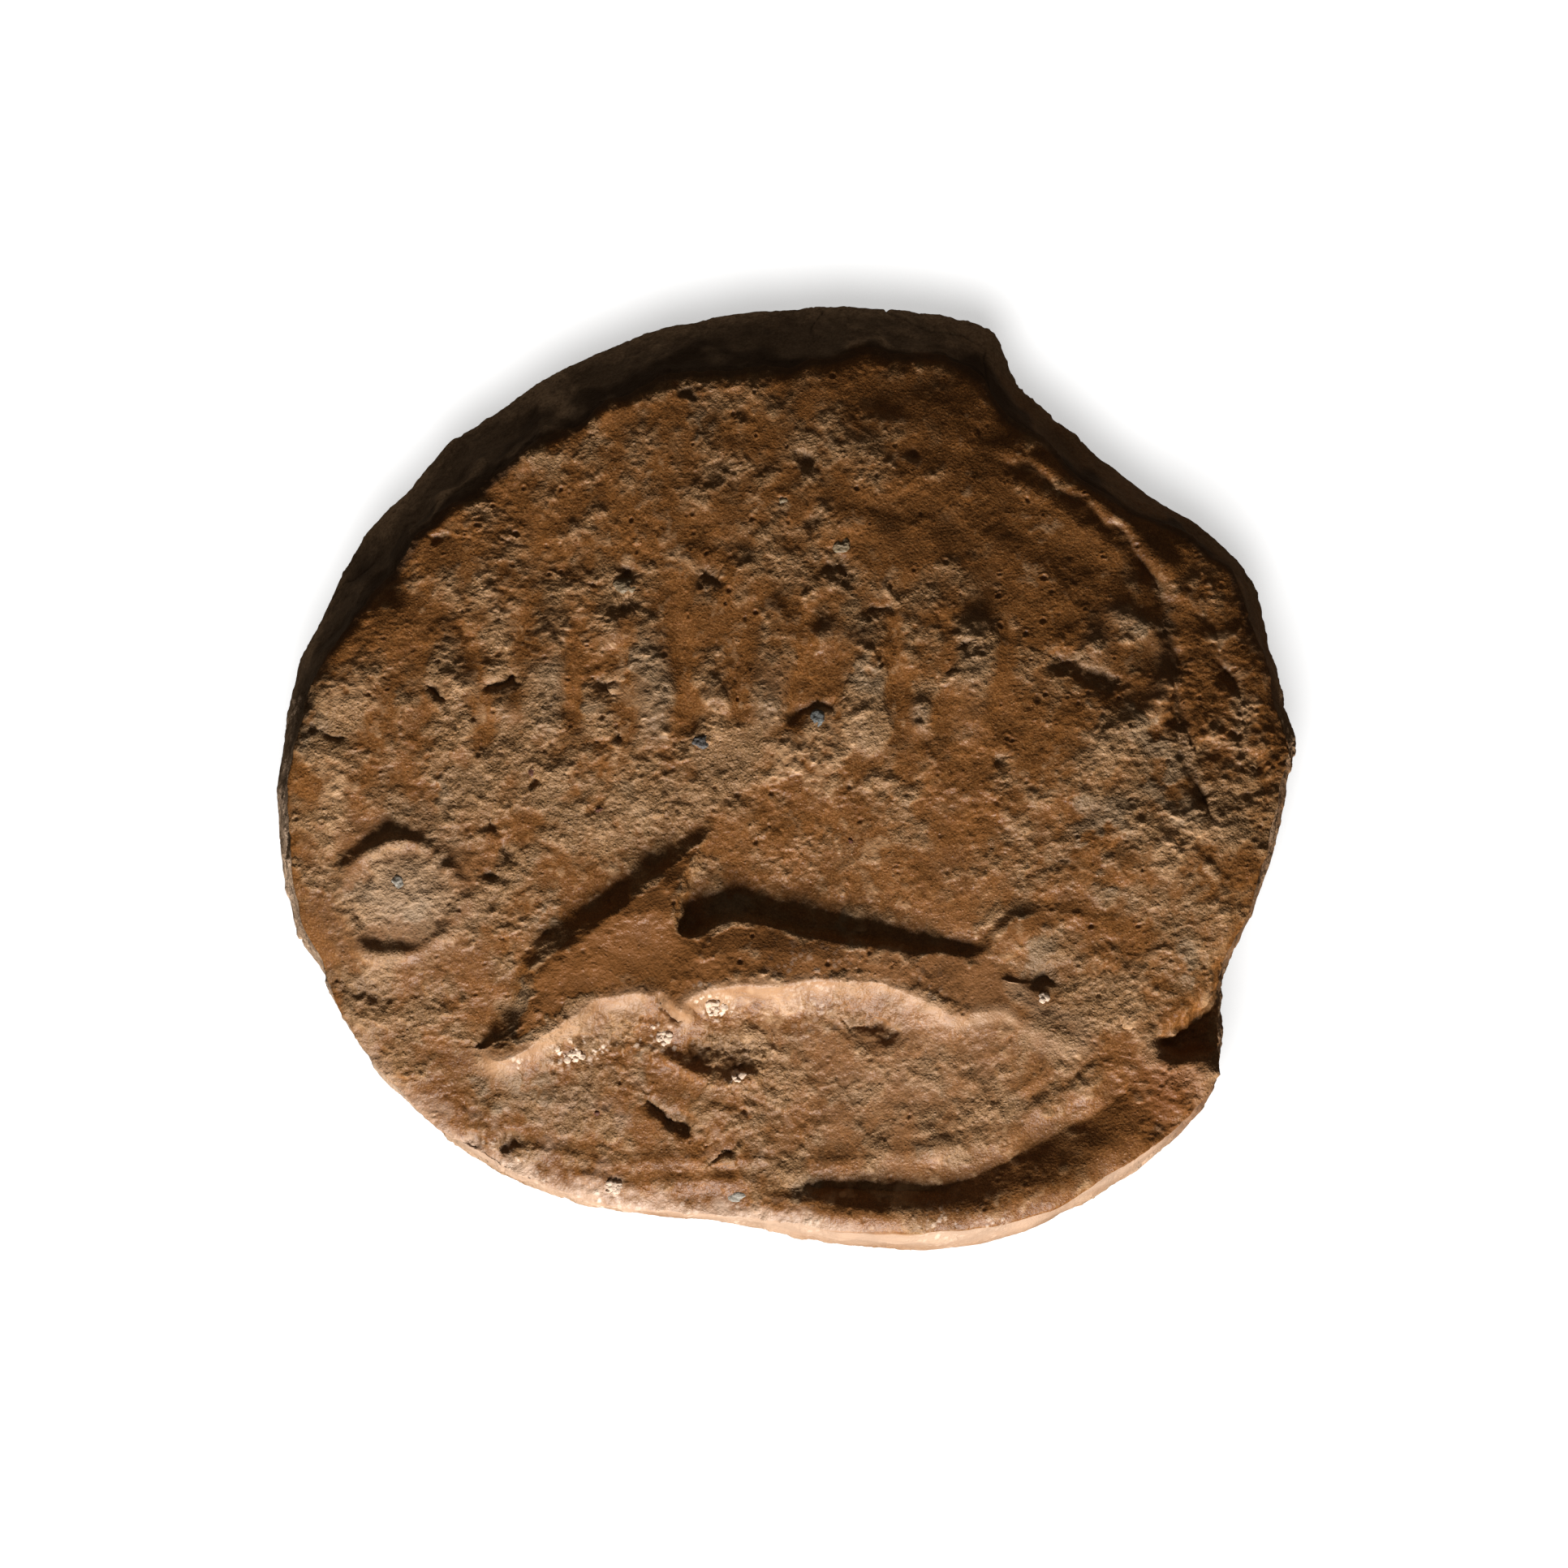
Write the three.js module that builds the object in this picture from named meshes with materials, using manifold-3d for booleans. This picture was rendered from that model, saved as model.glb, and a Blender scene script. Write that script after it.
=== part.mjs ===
// A clay bulla: a hand-pressed lump of clay that sealed the string of a folded document.
// Its upper face was stamped with an oval seal, which left a swimming fish, a ring and border lines.
// The lump lies on the flat back that met the document. +Z points out of the stamped face, +X to its
// right and +Y to its top. The origin is on the back, under the middle. Lengths are in millimetres.

import * as THREE from "three";
import { mergeVertices } from "three/addons/utils/BufferGeometryUtils.js";
import Module from "manifold-3d";

const wasm = await Module();
wasm.setup();

// Sizes of the whole lump
const BODY_WIDTH = 20;
const FACE_HEIGHT = 5.3;
const EQUATOR_HEIGHT = 2.2;
const BACK_INSET = 1.5;
const FACE_DROP_ACROSS = 0.7;
const FACE_DROP_ALONG = 0.65;
const HALF_WIDTH = BODY_WIDTH / 2;

// How finely the clay is faceted: cells across the face, rings down its side and points between two knots
const GRID_CELLS = 56;
const WALL_RINGS = 4;
const SPAN_POINTS = 4;
const CELLS = 2 * Math.round(GRID_CELLS / 2);
const RINGS = Math.round(WALL_RINGS);

// The lump's outline seen from above, anticlockwise from the right, as shares of half its width
const outlineShares = [
  [0.98, 0.0], [0.998, 0.06], [0.988, 0.105], [0.968, 0.15], [0.955, 0.2], [0.928, 0.3],
  [0.918, 0.35], [0.9, 0.4], [0.885, 0.425], [0.85, 0.452], [0.8, 0.497], [0.75, 0.525],
  [0.7, 0.552], [0.6, 0.627], [0.55, 0.675], [0.5, 0.712], [0.462, 0.745], [0.435, 0.785],
  [0.418, 0.83], [0.405, 0.855], [0.38, 0.877], [0.3, 0.903], [0.2, 0.92], [0.1, 0.925],
  [0.0, 0.921], [-0.1, 0.91], [-0.25, 0.877], [-0.35, 0.843], [-0.45, 0.796], [-0.55, 0.731],
  [-0.65, 0.667], [-0.7, 0.618], [-0.75, 0.556], [-0.8, 0.507], [-0.85, 0.44], [-0.9, 0.348],
  [-0.95, 0.24], [-0.97, 0.17], [-0.985, 0.09], [-1.0, 0.0], [-0.995, -0.12], [-0.978, -0.24],
  [-0.962, -0.3], [-0.918, -0.375], [-0.903, -0.42], [-0.845, -0.52], [-0.8, -0.583], [-0.7, -0.68],
  [-0.6, -0.75], [-0.5, -0.8], [-0.35, -0.845], [-0.1, -0.875], [0.1, -0.912], [0.22, -0.925],
  [0.3, -0.921], [0.4, -0.902], [0.5, -0.866], [0.6, -0.815], [0.7, -0.747], [0.77, -0.69],
  [0.82, -0.63], [0.845, -0.57], [0.848, -0.5], [0.843, -0.45], [0.855, -0.375], [0.905, -0.27],
  [0.95, -0.15], [0.972, -0.05],
];

// How far the side wall reaches in from the outline, every 15 degrees from the right, in shares of half
// the width
const wallWidthShares = [
  0.035, 0.04, 0.05, 0.045, 0.055, 0.09, 0.11, 0.115, 0.11, 0.12, 0.1, 0.055,
  0.035, 0.03, 0.03, 0.03, 0.035, 0.025, 0.03, 0.055, 0.05, 0.04, 0.035, 0.035,
];

// The wall from the shoulder to the equator: [share of the wall's width, share of its height]
const wallShares = [[0, 1], [0.16, 0.9], [0.5, 0.56], [0.84, 0.2], [1, 0]];

// The side below the equator: [share of the back's inset, share of the equator's height]
const undersideShares = [[0.06, 0.72], [0.22, 0.42], [0.52, 0.16], [1, 0]];

// Where the face bends down: the way down, how far along it the bend starts, how soft the bend is and the
// slope beyond it
const faceBends = [
  { waysShares: [0, 1], startShare: 0.12, softShare: 0.06, slopeShare: 0.12 },
  { waysShares: [0.8, 0.6], startShare: 0.52, softShare: 0.1, slopeShare: 0.2 },
  { waysShares: [-0.6, -0.8], startShare: 0.64, softShare: 0.08, slopeShare: 0.16 },
];

// The seal's figure: a fish that swims to the left, with a tall back fin and a forked tail
const FISH_HEIGHT = 0.38;
const FISH_CROWN = 0.05;
const FISH_CROWN_WIDTH = 0.8;
const FISH_FLANK = 0.36;
const FISH_LEAN = 0.1;
const fishShares = [
  [-0.6, -0.525], [-0.58, -0.555], [-0.52, -0.534], [-0.465, -0.494], [-0.385, -0.44], [-0.32, -0.42],
  [-0.25, -0.428], [-0.21, -0.452], [-0.195, -0.433], [-0.145, -0.413], [-0.08, -0.4], [0.015, -0.398],
  [0.1, -0.4], [0.175, -0.4], [0.228, -0.413], [0.282, -0.44], [0.328, -0.47], [0.361, -0.462],
  [0.415, -0.454], [0.455, -0.48], [0.515, -0.52], [0.57, -0.52], [0.55, -0.485], [0.48, -0.45],
  [0.43, -0.4], [0.44, -0.34], [0.51, -0.3], [0.59, -0.272], [0.56, -0.245], [0.48, -0.24],
  [0.415, -0.275], [0.389, -0.318], [0.349, -0.336], [0.282, -0.328], [0.2, -0.318], [0.122, -0.308],
  [0.068, -0.298], [0.015, -0.284], [-0.052, -0.266], [-0.118, -0.256], [-0.16, -0.272], [-0.2, -0.285],
  [-0.19, -0.22], [-0.165, -0.15], [-0.14, -0.09], [-0.19, -0.12], [-0.26, -0.17], [-0.33, -0.225],
  [-0.4, -0.275], [-0.46, -0.325], [-0.51, -0.38], [-0.535, -0.45], [-0.575, -0.49],
];

// The fish from snout to tail: how much of its height it has, its middle line, and how far the belly's
// flank runs out below the body. Then how much of the height is left up the fin.
const fishLengthShares = [
  [-0.62, 0.5], [-0.5, 0.8], [-0.3, 0.9], [-0.1, 0.85], [0.07, 1], [0.2, 0.75], [0.3, 0.55], [0.42, 0.45],
  [0.6, 0.15],
];
const fishMiddleShares = [[-0.6, -0.53], [-0.4, -0.4], [-0.2, -0.36], [0, -0.335], [0.2, -0.36], [0.5, -0.4]];
const fishBellyShares = [
  [-0.55, 0.07], [-0.4, 0.125], [-0.26, 0.1], [-0.2, 0.05], [0.1, 0.062], [0.3, 0.05], [0.55, 0.04],
];
const fishFinShares = [[-0.3, 1], [-0.2, 0.7], [-0.09, 0.35]];

// The rounded knob under the fish's belly
const KNOB_HEIGHT = 0.16;
const KNOB_RADIUS = 0.6;
const knobShares = [-0.125, -0.53];

// The ring in front of the fish
const RING_RADIUS = 1.13;
const RING_WIDTH = 0.24;
const RING_HEIGHT = 0.13;
const ringShares = [-0.75, -0.235];

// Raised lines left by the seal's border, and lips of clay squeezed up round it
const LINE_WIDTH = 0.27;
const LINE_HEIGHT = 0.09;
const LIP_WIDTH = 0.45;
const LIP_HEIGHT = 0.3;
const borderLineShares = [
  [[0.4, 0.655], [0.5, 0.615], [0.6, 0.55], [0.7, 0.46], [0.76, 0.385], [0.81, 0.32]],
  [[0.46, 0.6], [0.53, 0.565], [0.6, 0.515], [0.65, 0.47]],
  [
    [-0.02, -0.765], [0.15, -0.755], [0.3, -0.735], [0.4, -0.72], [0.47, -0.685], [0.56, -0.63], [0.66, -0.56],
  ],
];
const lowerLipShares = [
  [-0.02, -0.85], [0.1, -0.858], [0.3, -0.872], [0.42, -0.856], [0.5, -0.826], [0.6, -0.772], [0.7, -0.7],
  [0.77, -0.63], [0.81, -0.56],
];

// A plain row across the middle: leaf-shaped bosses with pellets between them
const LEAF_LENGTH = 2.9;
const LEAF_WIDTH = 0.32;
const LEAF_HEIGHT = 0.13;
const PELLET_RADIUS = 0.3;
const PELLET_HEIGHT = 0.1;
const leaves = [
  { placeShares: [-0.64, 0.19], lean: 0.16 },
  { placeShares: [-0.44, 0.21], lean: -0.08 },
  { placeShares: [-0.24, 0.23], lean: 0.1 },
  { placeShares: [-0.04, 0.22], lean: -0.12 },
  { placeShares: [0.16, 0.2], lean: 0.06 },
  { placeShares: [0.34, 0.2], lean: -0.1 },
];
const pelletShares = [[-0.54, 0.13], [-0.34, 0.28], [-0.14, 0.16], [0.07, 0.28], [0.25, 0.12], [0.59, 0.25]];

// The crescent that ends the row on the right
const CRESCENT_RADIUS = 1.15;
const CRESCENT_WIDTH = 0.28;
const CRESCENT_HEIGHT = 0.16;
const CRESCENT_SPAN_DEGREES = 210;
const crescentShares = [0.62, 0.21];

// Losses: the broken corner with the facet above it, and the hollow in the left wall
const BROKEN_CORNER_DEPTH = 0.35;
const BROKEN_CORNER_REACH = 0.75;
const brokenCornerShares = [0.745, -0.6];
const CORNER_FACET_DEPTH = 0.55;
const CORNER_FACET_REACH = 0.9;
const cornerFacetShares = [0.85, -0.42];
const HOLLOW_DEPTH = 0.45;
const HOLLOW_REACH = 0.6;
const hollowShares = [-0.81, 0.4];

// The groove that the document's string left across the back
const STRING_DIAMETER = 1;
const STRING_SIDES = 12;
const CUT_OVERRUN = 2;
const stringShares = [[-0.7, 0.1], [-0.3, 0.04], [0.1, -0.03], [0.5, -0.1], [0.7, -0.14]];

// Mineral grains in the clay: place and size as shares, and how deep each is sunk as a share of its height
const GRAIN_LENGTH = 0.55;
const GRAIN_GAP = 0.05;
const GRAIN_DETAIL = 1;
const GRAIN_LUMP_SHARE = 0.12;
const grains = [
  { name: "pale_limestone_grain", placeShares: [-0.096, -0.812], sizeShares: [1, 0.55, 0.5],
    sunkShare: 0.4, turn: -0.2, material: "limestone" },
  { name: "grey_limestone_grain", placeShares: [-0.757, -0.202], sizeShares: [0.8, 0.72, 0.5],
    sunkShare: 0.35, turn: 0.5, material: "limestone" },
  { name: "blue_grey_flint_grain", placeShares: [0.055, 0.112], sizeShares: [0.55, 0.85, 0.5],
    sunkShare: 0.35, turn: 0.1, material: "flint" },
  { name: "dark_basalt_grain", placeShares: [-0.172, 0.072], sizeShares: [0.75, 0.55, 0.5],
    sunkShare: 0.3, turn: 0.6, material: "basalt" },
  { name: "lime_fleck_1", placeShares: [-0.145, -0.445], sizeShares: [0.8, 0.5, 0.45],
    sunkShare: 0.35, turn: 0.3, material: "lime" },
  { name: "lime_fleck_2", placeShares: [-0.42, -0.54], sizeShares: [0.7, 0.42, 0.42],
    sunkShare: 0.35, turn: -0.1, material: "lime" },
  { name: "lime_fleck_3", placeShares: [-0.242, -0.502], sizeShares: [0.5, 0.36, 0.36],
    sunkShare: 0.35, turn: 0.9, material: "lime" },
  { name: "lime_fleck_4", placeShares: [-0.095, -0.58], sizeShares: [0.5, 0.34, 0.34],
    sunkShare: 0.35, turn: 0.1, material: "lime" },
  { name: "lime_fleck_5", placeShares: [-0.34, -0.795], sizeShares: [0.5, 0.4, 0.36],
    sunkShare: 0.35, turn: -0.4, material: "lime" },
  { name: "lime_fleck_6", placeShares: [0.497, -0.43], sizeShares: [0.44, 0.36, 0.34],
    sunkShare: 0.35, turn: 0.5, material: "lime" },
  { name: "sand_grain_1", placeShares: [0.103, 0.452], sizeShares: [0.85, 0.6, 0.55],
    sunkShare: 0.25, turn: 0.2, material: "sand" },
  { name: "sand_grain_2", placeShares: [-0.318, 0.372], sizeShares: [0.9, 0.6, 0.55],
    sunkShare: 0.25, turn: -0.3, material: "sand" },
  { name: "sand_grain_3", placeShares: [-0.012, 0.54], sizeShares: [0.6, 0.42, 0.4],
    sunkShare: 0.3, turn: 0.4, material: "sand" },
  { name: "red_ochre_speck_1", placeShares: [-0.366, -0.062], sizeShares: [0.36, 0.3, 0.3],
    sunkShare: 0.3, turn: 0, material: "ochre" },
  { name: "red_ochre_speck_2", placeShares: [-0.371, -0.652], sizeShares: [0.4, 0.3, 0.3],
    sunkShare: 0.3, turn: 0.7, material: "ochre" },
  { name: "red_ochre_speck_3", placeShares: [0.12, -0.122], sizeShares: [0.34, 0.3, 0.3],
    sunkShare: 0.3, turn: 0.2, material: "ochre" },
  { name: "red_ochre_speck_4", placeShares: [-0.498, 0.013], sizeShares: [0.36, 0.28, 0.28],
    sunkShare: 0.3, turn: 1.1, material: "ochre" },
];

const materials = {
  clay: new THREE.MeshStandardMaterial({ color: "#8a6444", roughness: 0.82, metalness: 0 }),
  limestone: new THREE.MeshStandardMaterial({ color: "#a39a8c", roughness: 0.7, metalness: 0 }),
  flint: new THREE.MeshStandardMaterial({ color: "#7d7f80", roughness: 0.5, metalness: 0 }),
  basalt: new THREE.MeshStandardMaterial({ color: "#55504d", roughness: 0.6, metalness: 0 }),
  lime: new THREE.MeshStandardMaterial({ color: "#d8c8b4", roughness: 0.6, metalness: 0 }),
  sand: new THREE.MeshStandardMaterial({ color: "#8f8068", roughness: 0.85, metalness: 0 }),
  ochre: new THREE.MeshStandardMaterial({ color: "#6a2c18", roughness: 0.7, metalness: 0 }),
};

// Puts a share pair, or a list of them, at its place on the face
const placed = ([x, y]) => new THREE.Vector2(x * HALF_WIDTH, y * HALF_WIDTH);
const placedAll = (shares) => shares.map(placed);

// A smooth curve through the points, as closely spaced points
function smoothed(points, closed) {
  const knots = points.map((p) => new THREE.Vector3(p.x, p.y, 0));
  const curve = new THREE.CatmullRomCurve3(knots, closed, "centripetal");
  const count = Math.round(SPAN_POINTS * (closed ? points.length : points.length - 1));
  const found = curve.getPoints(count);
  if (closed) found.pop();
  return found.map((p) => new THREE.Vector2(p.x, p.y));
}

// The distance from a point to a chain of points, and how far along the chain the nearest place is
function nearestOn(chain, closed, point) {
  let distance = Infinity;
  let along = 0;
  const spans = closed ? chain.length : chain.length - 1;
  for (let i = 0; i < spans; i += 1) {
    const start = chain[i];
    const span = chain[(i + 1) % chain.length].clone().sub(start);
    const reach = point.clone().sub(start).dot(span) / span.lengthSq();
    const share = THREE.MathUtils.clamp(reach, 0, 1);
    const gap = start.clone().addScaledVector(span, share).distanceTo(point);
    if (gap < distance) {
      distance = gap;
      along = (i + share) / spans;
    }
  }
  return { distance, along };
}

function isInside(loop, point) {
  let inside = false;
  for (let i = 0, j = loop.length - 1; i < loop.length; j = i, i += 1) {
    const a = loop[i];
    const b = loop[j];
    const crosses = a.y > point.y !== b.y > point.y;
    if (crosses && point.x < ((b.x - a.x) * (point.y - a.y)) / (b.y - a.y) + a.x) inside = !inside;
  }
  return inside;
}

// A soft mound: 1 in the middle, falling to nearly nothing at twice the reach
const mound = (distance, reach) => Math.exp(-((distance / reach) ** 2));

// A ridge along a line, which fades out at both ends
const END_FADE_SHARE = 0.12;
function ridge(line, point, width) {
  const { distance, along } = nearestOn(line, false, point);
  const fade = Math.min(along, 1 - along) / END_FADE_SHARE;
  return mound(distance, width) * THREE.MathUtils.smoothstep(fade + 0.5, 0, 1);
}

const fishLoop = smoothed(placedAll(fishShares), true);
const borderCurves = borderLineShares.map((shares) => smoothed(placedAll(shares), false));
const lowerLip = smoothed(placedAll(lowerLipShares), false);
const pellets = placedAll(pelletShares);

// The value of a table of [place, value] rows at a place between them
function valueAt(tableShares, place) {
  const next = tableShares.findIndex((row) => row[0] > place);
  if (next === 0) return tableShares[0][1];
  if (next < 0) return tableShares.at(-1)[1];
  const [before, after] = [tableShares[next - 1], tableShares[next]];
  return THREE.MathUtils.mapLinear(place, before[0], after[0], before[1], after[1]);
}

// The fish stands up from the face. Its back leans down to a steep edge, and its belly slopes out gently.
function fishHeight(point) {
  const { distance } = nearestOn(fishLoop, true, point);
  const depth = isInside(fishLoop, point) ? distance : -distance;
  const across = point.x / HALF_WIDTH;
  const up = point.y / HALF_WIDTH;
  const below = valueAt(fishMiddleShares, across) - up;
  const belly = 1 + depth / (valueAt(fishBellyShares, across) * HALF_WIDTH);
  const backFlank = THREE.MathUtils.smoothstep(depth, -FISH_FLANK / 2, FISH_FLANK / 2);
  const flank = below > 0 ? THREE.MathUtils.clamp(belly, 0, 1) ** 1.5 : backFlank;
  const crown = THREE.MathUtils.smoothstep(depth, 0, FISH_CROWN_WIDTH);
  const lean = THREE.MathUtils.clamp((below * HALF_WIDTH) / FISH_CROWN_WIDTH, -1, 1) * FISH_CROWN_WIDTH;
  const whole = FISH_HEIGHT * flank + FISH_CROWN * crown + FISH_LEAN * lean * flank;
  return whole * valueAt(fishLengthShares, across) * valueAt(fishFinShares, up);
}

// A leaf is a boss with pointed ends
function leafHeight(leaf, point) {
  const offset = point.clone().sub(placed(leaf.placeShares)).rotateAround(new THREE.Vector2(), -leaf.lean);
  const taper = 1 - (offset.y / (LEAF_LENGTH / 2)) ** 2;
  return taper > 0 ? LEAF_HEIGHT * taper * mound(offset.x, LEAF_WIDTH * Math.sqrt(taper)) : 0;
}

// The crescent is an arc open to the left
function crescentHeight(point) {
  const offset = point.clone().sub(placed(crescentShares));
  const halfSpan = THREE.MathUtils.degToRad(CRESCENT_SPAN_DEGREES / 2);
  const turn = Math.abs(Math.atan2(offset.y, offset.x));
  const fade = THREE.MathUtils.smoothstep(halfSpan - turn, 0, halfSpan / 3);
  return CRESCENT_HEIGHT * fade * mound(offset.length() - CRESCENT_RADIUS, CRESCENT_WIDTH);
}

// Everything that the seal pressed into the face, above the plain clay
function stampHeight(point) {
  const ringGap = point.distanceTo(placed(ringShares)) - RING_RADIUS;
  let height = fishHeight(point) + crescentHeight(point);
  height += RING_HEIGHT * mound(ringGap, RING_WIDTH);
  height += KNOB_HEIGHT * mound(point.distanceTo(placed(knobShares)), KNOB_RADIUS);
  for (const line of borderCurves) height += LINE_HEIGHT * ridge(line, point, LINE_WIDTH);
  for (const leaf of leaves) height += leafHeight(leaf, point);
  for (const pellet of pellets) height += PELLET_HEIGHT * mound(point.distanceTo(pellet), PELLET_RADIUS);
  return height;
}

// The height of the face above the back: a shallow dome with its stamp, lips and losses
function faceHeight(x, y) {
  const point = new THREE.Vector2(x, y);
  let height = FACE_HEIGHT;
  height -= FACE_DROP_ACROSS * (x / HALF_WIDTH) ** 2 + FACE_DROP_ALONG * (y / HALF_WIDTH) ** 2;
  for (const { waysShares, startShare, softShare, slopeShare } of faceBends) {
    const past = (point.dot(placed(waysShares)) / HALF_WIDTH ** 2 - startShare) / softShare;
    height -= slopeShare * softShare * HALF_WIDTH * Math.log1p(Math.exp(past));
  }
  height += stampHeight(point);
  height += LIP_HEIGHT * ridge(lowerLip, point, LIP_WIDTH);
  height -= BROKEN_CORNER_DEPTH * mound(point.distanceTo(placed(brokenCornerShares)), BROKEN_CORNER_REACH);
  height -= CORNER_FACET_DEPTH * mound(point.distanceTo(placed(cornerFacetShares)), CORNER_FACET_REACH);
  height -= HOLLOW_DEPTH * mound(point.distanceTo(placed(hollowShares)), HOLLOW_REACH);
  return height;
}

// The outline's distance from the middle in a direction, by the two points beside it
const outline = smoothed(placedAll(outlineShares), true);
const FULL_TURN = 2 * Math.PI;
const turnOf = (p) => (Math.atan2(p.y, p.x) + FULL_TURN) % FULL_TURN;
const byTurn = outline.map((p) => ({ turn: turnOf(p), radius: p.length() })).sort((a, b) => a.turn - b.turn);
function outlineRadius(turn) {
  const wanted = (turn + FULL_TURN) % FULL_TURN;
  const next = byTurn.findIndex((p) => p.turn > wanted);
  const after = byTurn[next < 0 ? 0 : next];
  const before = byTurn[(next < 0 ? byTurn.length : next || byTurn.length) - 1];
  const step = (after.turn - before.turn + FULL_TURN) % FULL_TURN;
  const share = ((wanted - before.turn + FULL_TURN) % FULL_TURN) / step;
  return THREE.MathUtils.lerp(before.radius, after.radius, share);
}

function wallWidth(turn) {
  const place = (((turn + FULL_TURN) % FULL_TURN) / FULL_TURN) * wallWidthShares.length;
  const first = Math.floor(place) % wallWidthShares.length;
  const second = (first + 1) % wallWidthShares.length;
  const share = THREE.MathUtils.smoothstep(place - Math.floor(place), 0, 1);
  return HALF_WIDTH * THREE.MathUtils.lerp(wallWidthShares[first], wallWidthShares[second], share);
}

// A place in a table of [x, height] pairs, with share running evenly from its first row to its last
function alongTable(table, share) {
  const place = THREE.MathUtils.clamp(share, 0, 1) * (table.length - 1);
  const first = Math.min(Math.floor(place), table.length - 2);
  return [0, 1].map((k) => THREE.MathUtils.lerp(table[first][k], table[first + 1][k], place - first));
}

// The point of the upper surface at a turn, with share 0 in the middle and 1 on the equator
const FIELD_SHARE = 1 - (2 * RINGS) / CELLS;
function upperPoint(turn, share) {
  const width = wallWidth(turn);
  const fieldRadius = outlineRadius(turn) - width;
  const direction = new THREE.Vector2(Math.cos(turn), Math.sin(turn));
  const inField = Math.min(share / FIELD_SHARE, 1);
  const onFace = direction.clone().multiplyScalar(fieldRadius * inField);
  const shoulder = faceHeight(onFace.x, onFace.y);
  if (share <= FIELD_SHARE) return new THREE.Vector3(onFace.x, onFace.y, shoulder);
  const [out, up] = alongTable(wallShares, (share - FIELD_SHARE) / (1 - FIELD_SHARE));
  const onWall = direction.multiplyScalar(fieldRadius + width * out);
  return new THREE.Vector3(onWall.x, onWall.y, EQUATOR_HEIGHT + (shoulder - EQUATOR_HEIGHT) * up);
}

// Maps a square grid onto a disc: the turn and the share of the radius for a place in the square
function discPlace(across, along) {
  if (across === 0 && along === 0) return [0, 0];
  if (Math.abs(across) > Math.abs(along)) {
    return [(Math.PI / 4) * (along / across) + (across < 0 ? Math.PI : 0), Math.abs(across)];
  }
  return [Math.PI / 2 - (Math.PI / 4) * (across / along) + (along < 0 ? Math.PI : 0), Math.abs(along)];
}

// The grid indices round the edge of the square, anticlockwise
function gridEdge() {
  const edge = [];
  for (let k = 0; k < CELLS; k += 1) edge.push([CELLS, k]);
  for (let k = 0; k < CELLS; k += 1) edge.push([CELLS - k, CELLS]);
  for (let k = 0; k < CELLS; k += 1) edge.push([0, CELLS - k]);
  for (let k = 0; k < CELLS; k += 1) edge.push([k, 0]);
  return edge;
}

// The lump before any cut: the face and wall on a disc grid, then rings down to the flat back
function lumpGeometry() {
  const points = [];
  const faces = [];
  const onSquare = (k) => (2 * k) / CELLS - 1;
  const indexOf = (i, j) => j * (CELLS + 1) + i;
  for (let j = 0; j <= CELLS; j += 1) {
    for (let i = 0; i <= CELLS; i += 1) points.push(upperPoint(...discPlace(onSquare(i), onSquare(j))));
  }
  for (let j = 0; j < CELLS; j += 1) {
    for (let i = 0; i < CELLS; i += 1) {
      const [a, b, c, d] = [indexOf(i, j), indexOf(i + 1, j), indexOf(i + 1, j + 1), indexOf(i, j + 1)];
      const rising = i < CELLS / 2 === j < CELLS / 2;
      faces.push(...(rising ? [a, b, c, a, c, d] : [a, b, d, b, c, d]));
    }
  }
  const edge = gridEdge();
  const turns = edge.map(([i, j]) => discPlace(onSquare(i), onSquare(j))[0]);
  let upper = edge.map(([i, j]) => indexOf(i, j));
  for (const [inset, height] of undersideShares) {
    const lower = turns.map((turn) => {
      const radius = outlineRadius(turn) - BACK_INSET * inset;
      const x = radius * Math.cos(turn);
      const y = radius * Math.sin(turn);
      return points.push(new THREE.Vector3(x, y, EQUATOR_HEIGHT * height)) - 1;
    });
    upper.forEach((a, k) => {
      const next = (k + 1) % upper.length;
      faces.push(a, lower[k], lower[next], a, lower[next], upper[next]);
    });
    upper = lower;
  }
  const centre = points.push(new THREE.Vector3(0, 0, 0)) - 1;
  upper.forEach((a, k) => faces.push(a, centre, upper[(k + 1) % upper.length]));
  return new THREE.BufferGeometry().setFromPoints(points).setIndex(faces);
}

// A closed geometry as a solid that can be cut, and back again
function solidFrom(geometry) {
  const bare = new THREE.BufferGeometry().setAttribute("position", geometry.getAttribute("position"));
  if (geometry.index) bare.setIndex(geometry.index);
  const merged = mergeVertices(bare);
  const vertProperties = merged.getAttribute("position").array;
  const triVerts = new Uint32Array(merged.index.array);
  return new wasm.Manifold(new wasm.Mesh({ numProp: 3, vertProperties, triVerts }));
}

function geometryFrom(solid) {
  const mesh = solid.getMesh();
  const geometry = new THREE.BufferGeometry();
  geometry.setAttribute("position", new THREE.BufferAttribute(mesh.vertProperties, 3));
  geometry.setIndex(new THREE.BufferAttribute(mesh.triVerts, 1));
  return geometry;
}

// The string's groove, as the round string that pressed it
function stringGeometry() {
  const route = placedAll(stringShares);
  const first = route[0].clone().sub(route[1]).setLength(CUT_OVERRUN).add(route[0]);
  const last = route.at(-1).clone().sub(route.at(-2)).setLength(CUT_OVERRUN).add(route.at(-1));
  const knots = [first, ...route, last].map((p) => new THREE.Vector3(p.x, p.y, 0));
  const section = new THREE.Shape().absarc(0, 0, STRING_DIAMETER / 2, 0, FULL_TURN);
  const extrudePath = new THREE.CatmullRomCurve3(knots);
  const steps = Math.round(SPAN_POINTS * knots.length);
  const options = { steps, extrudePath, curveSegments: Math.round(STRING_SIDES), bevelEnabled: false };
  return new THREE.ExtrudeGeometry(section, options);
}

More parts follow.
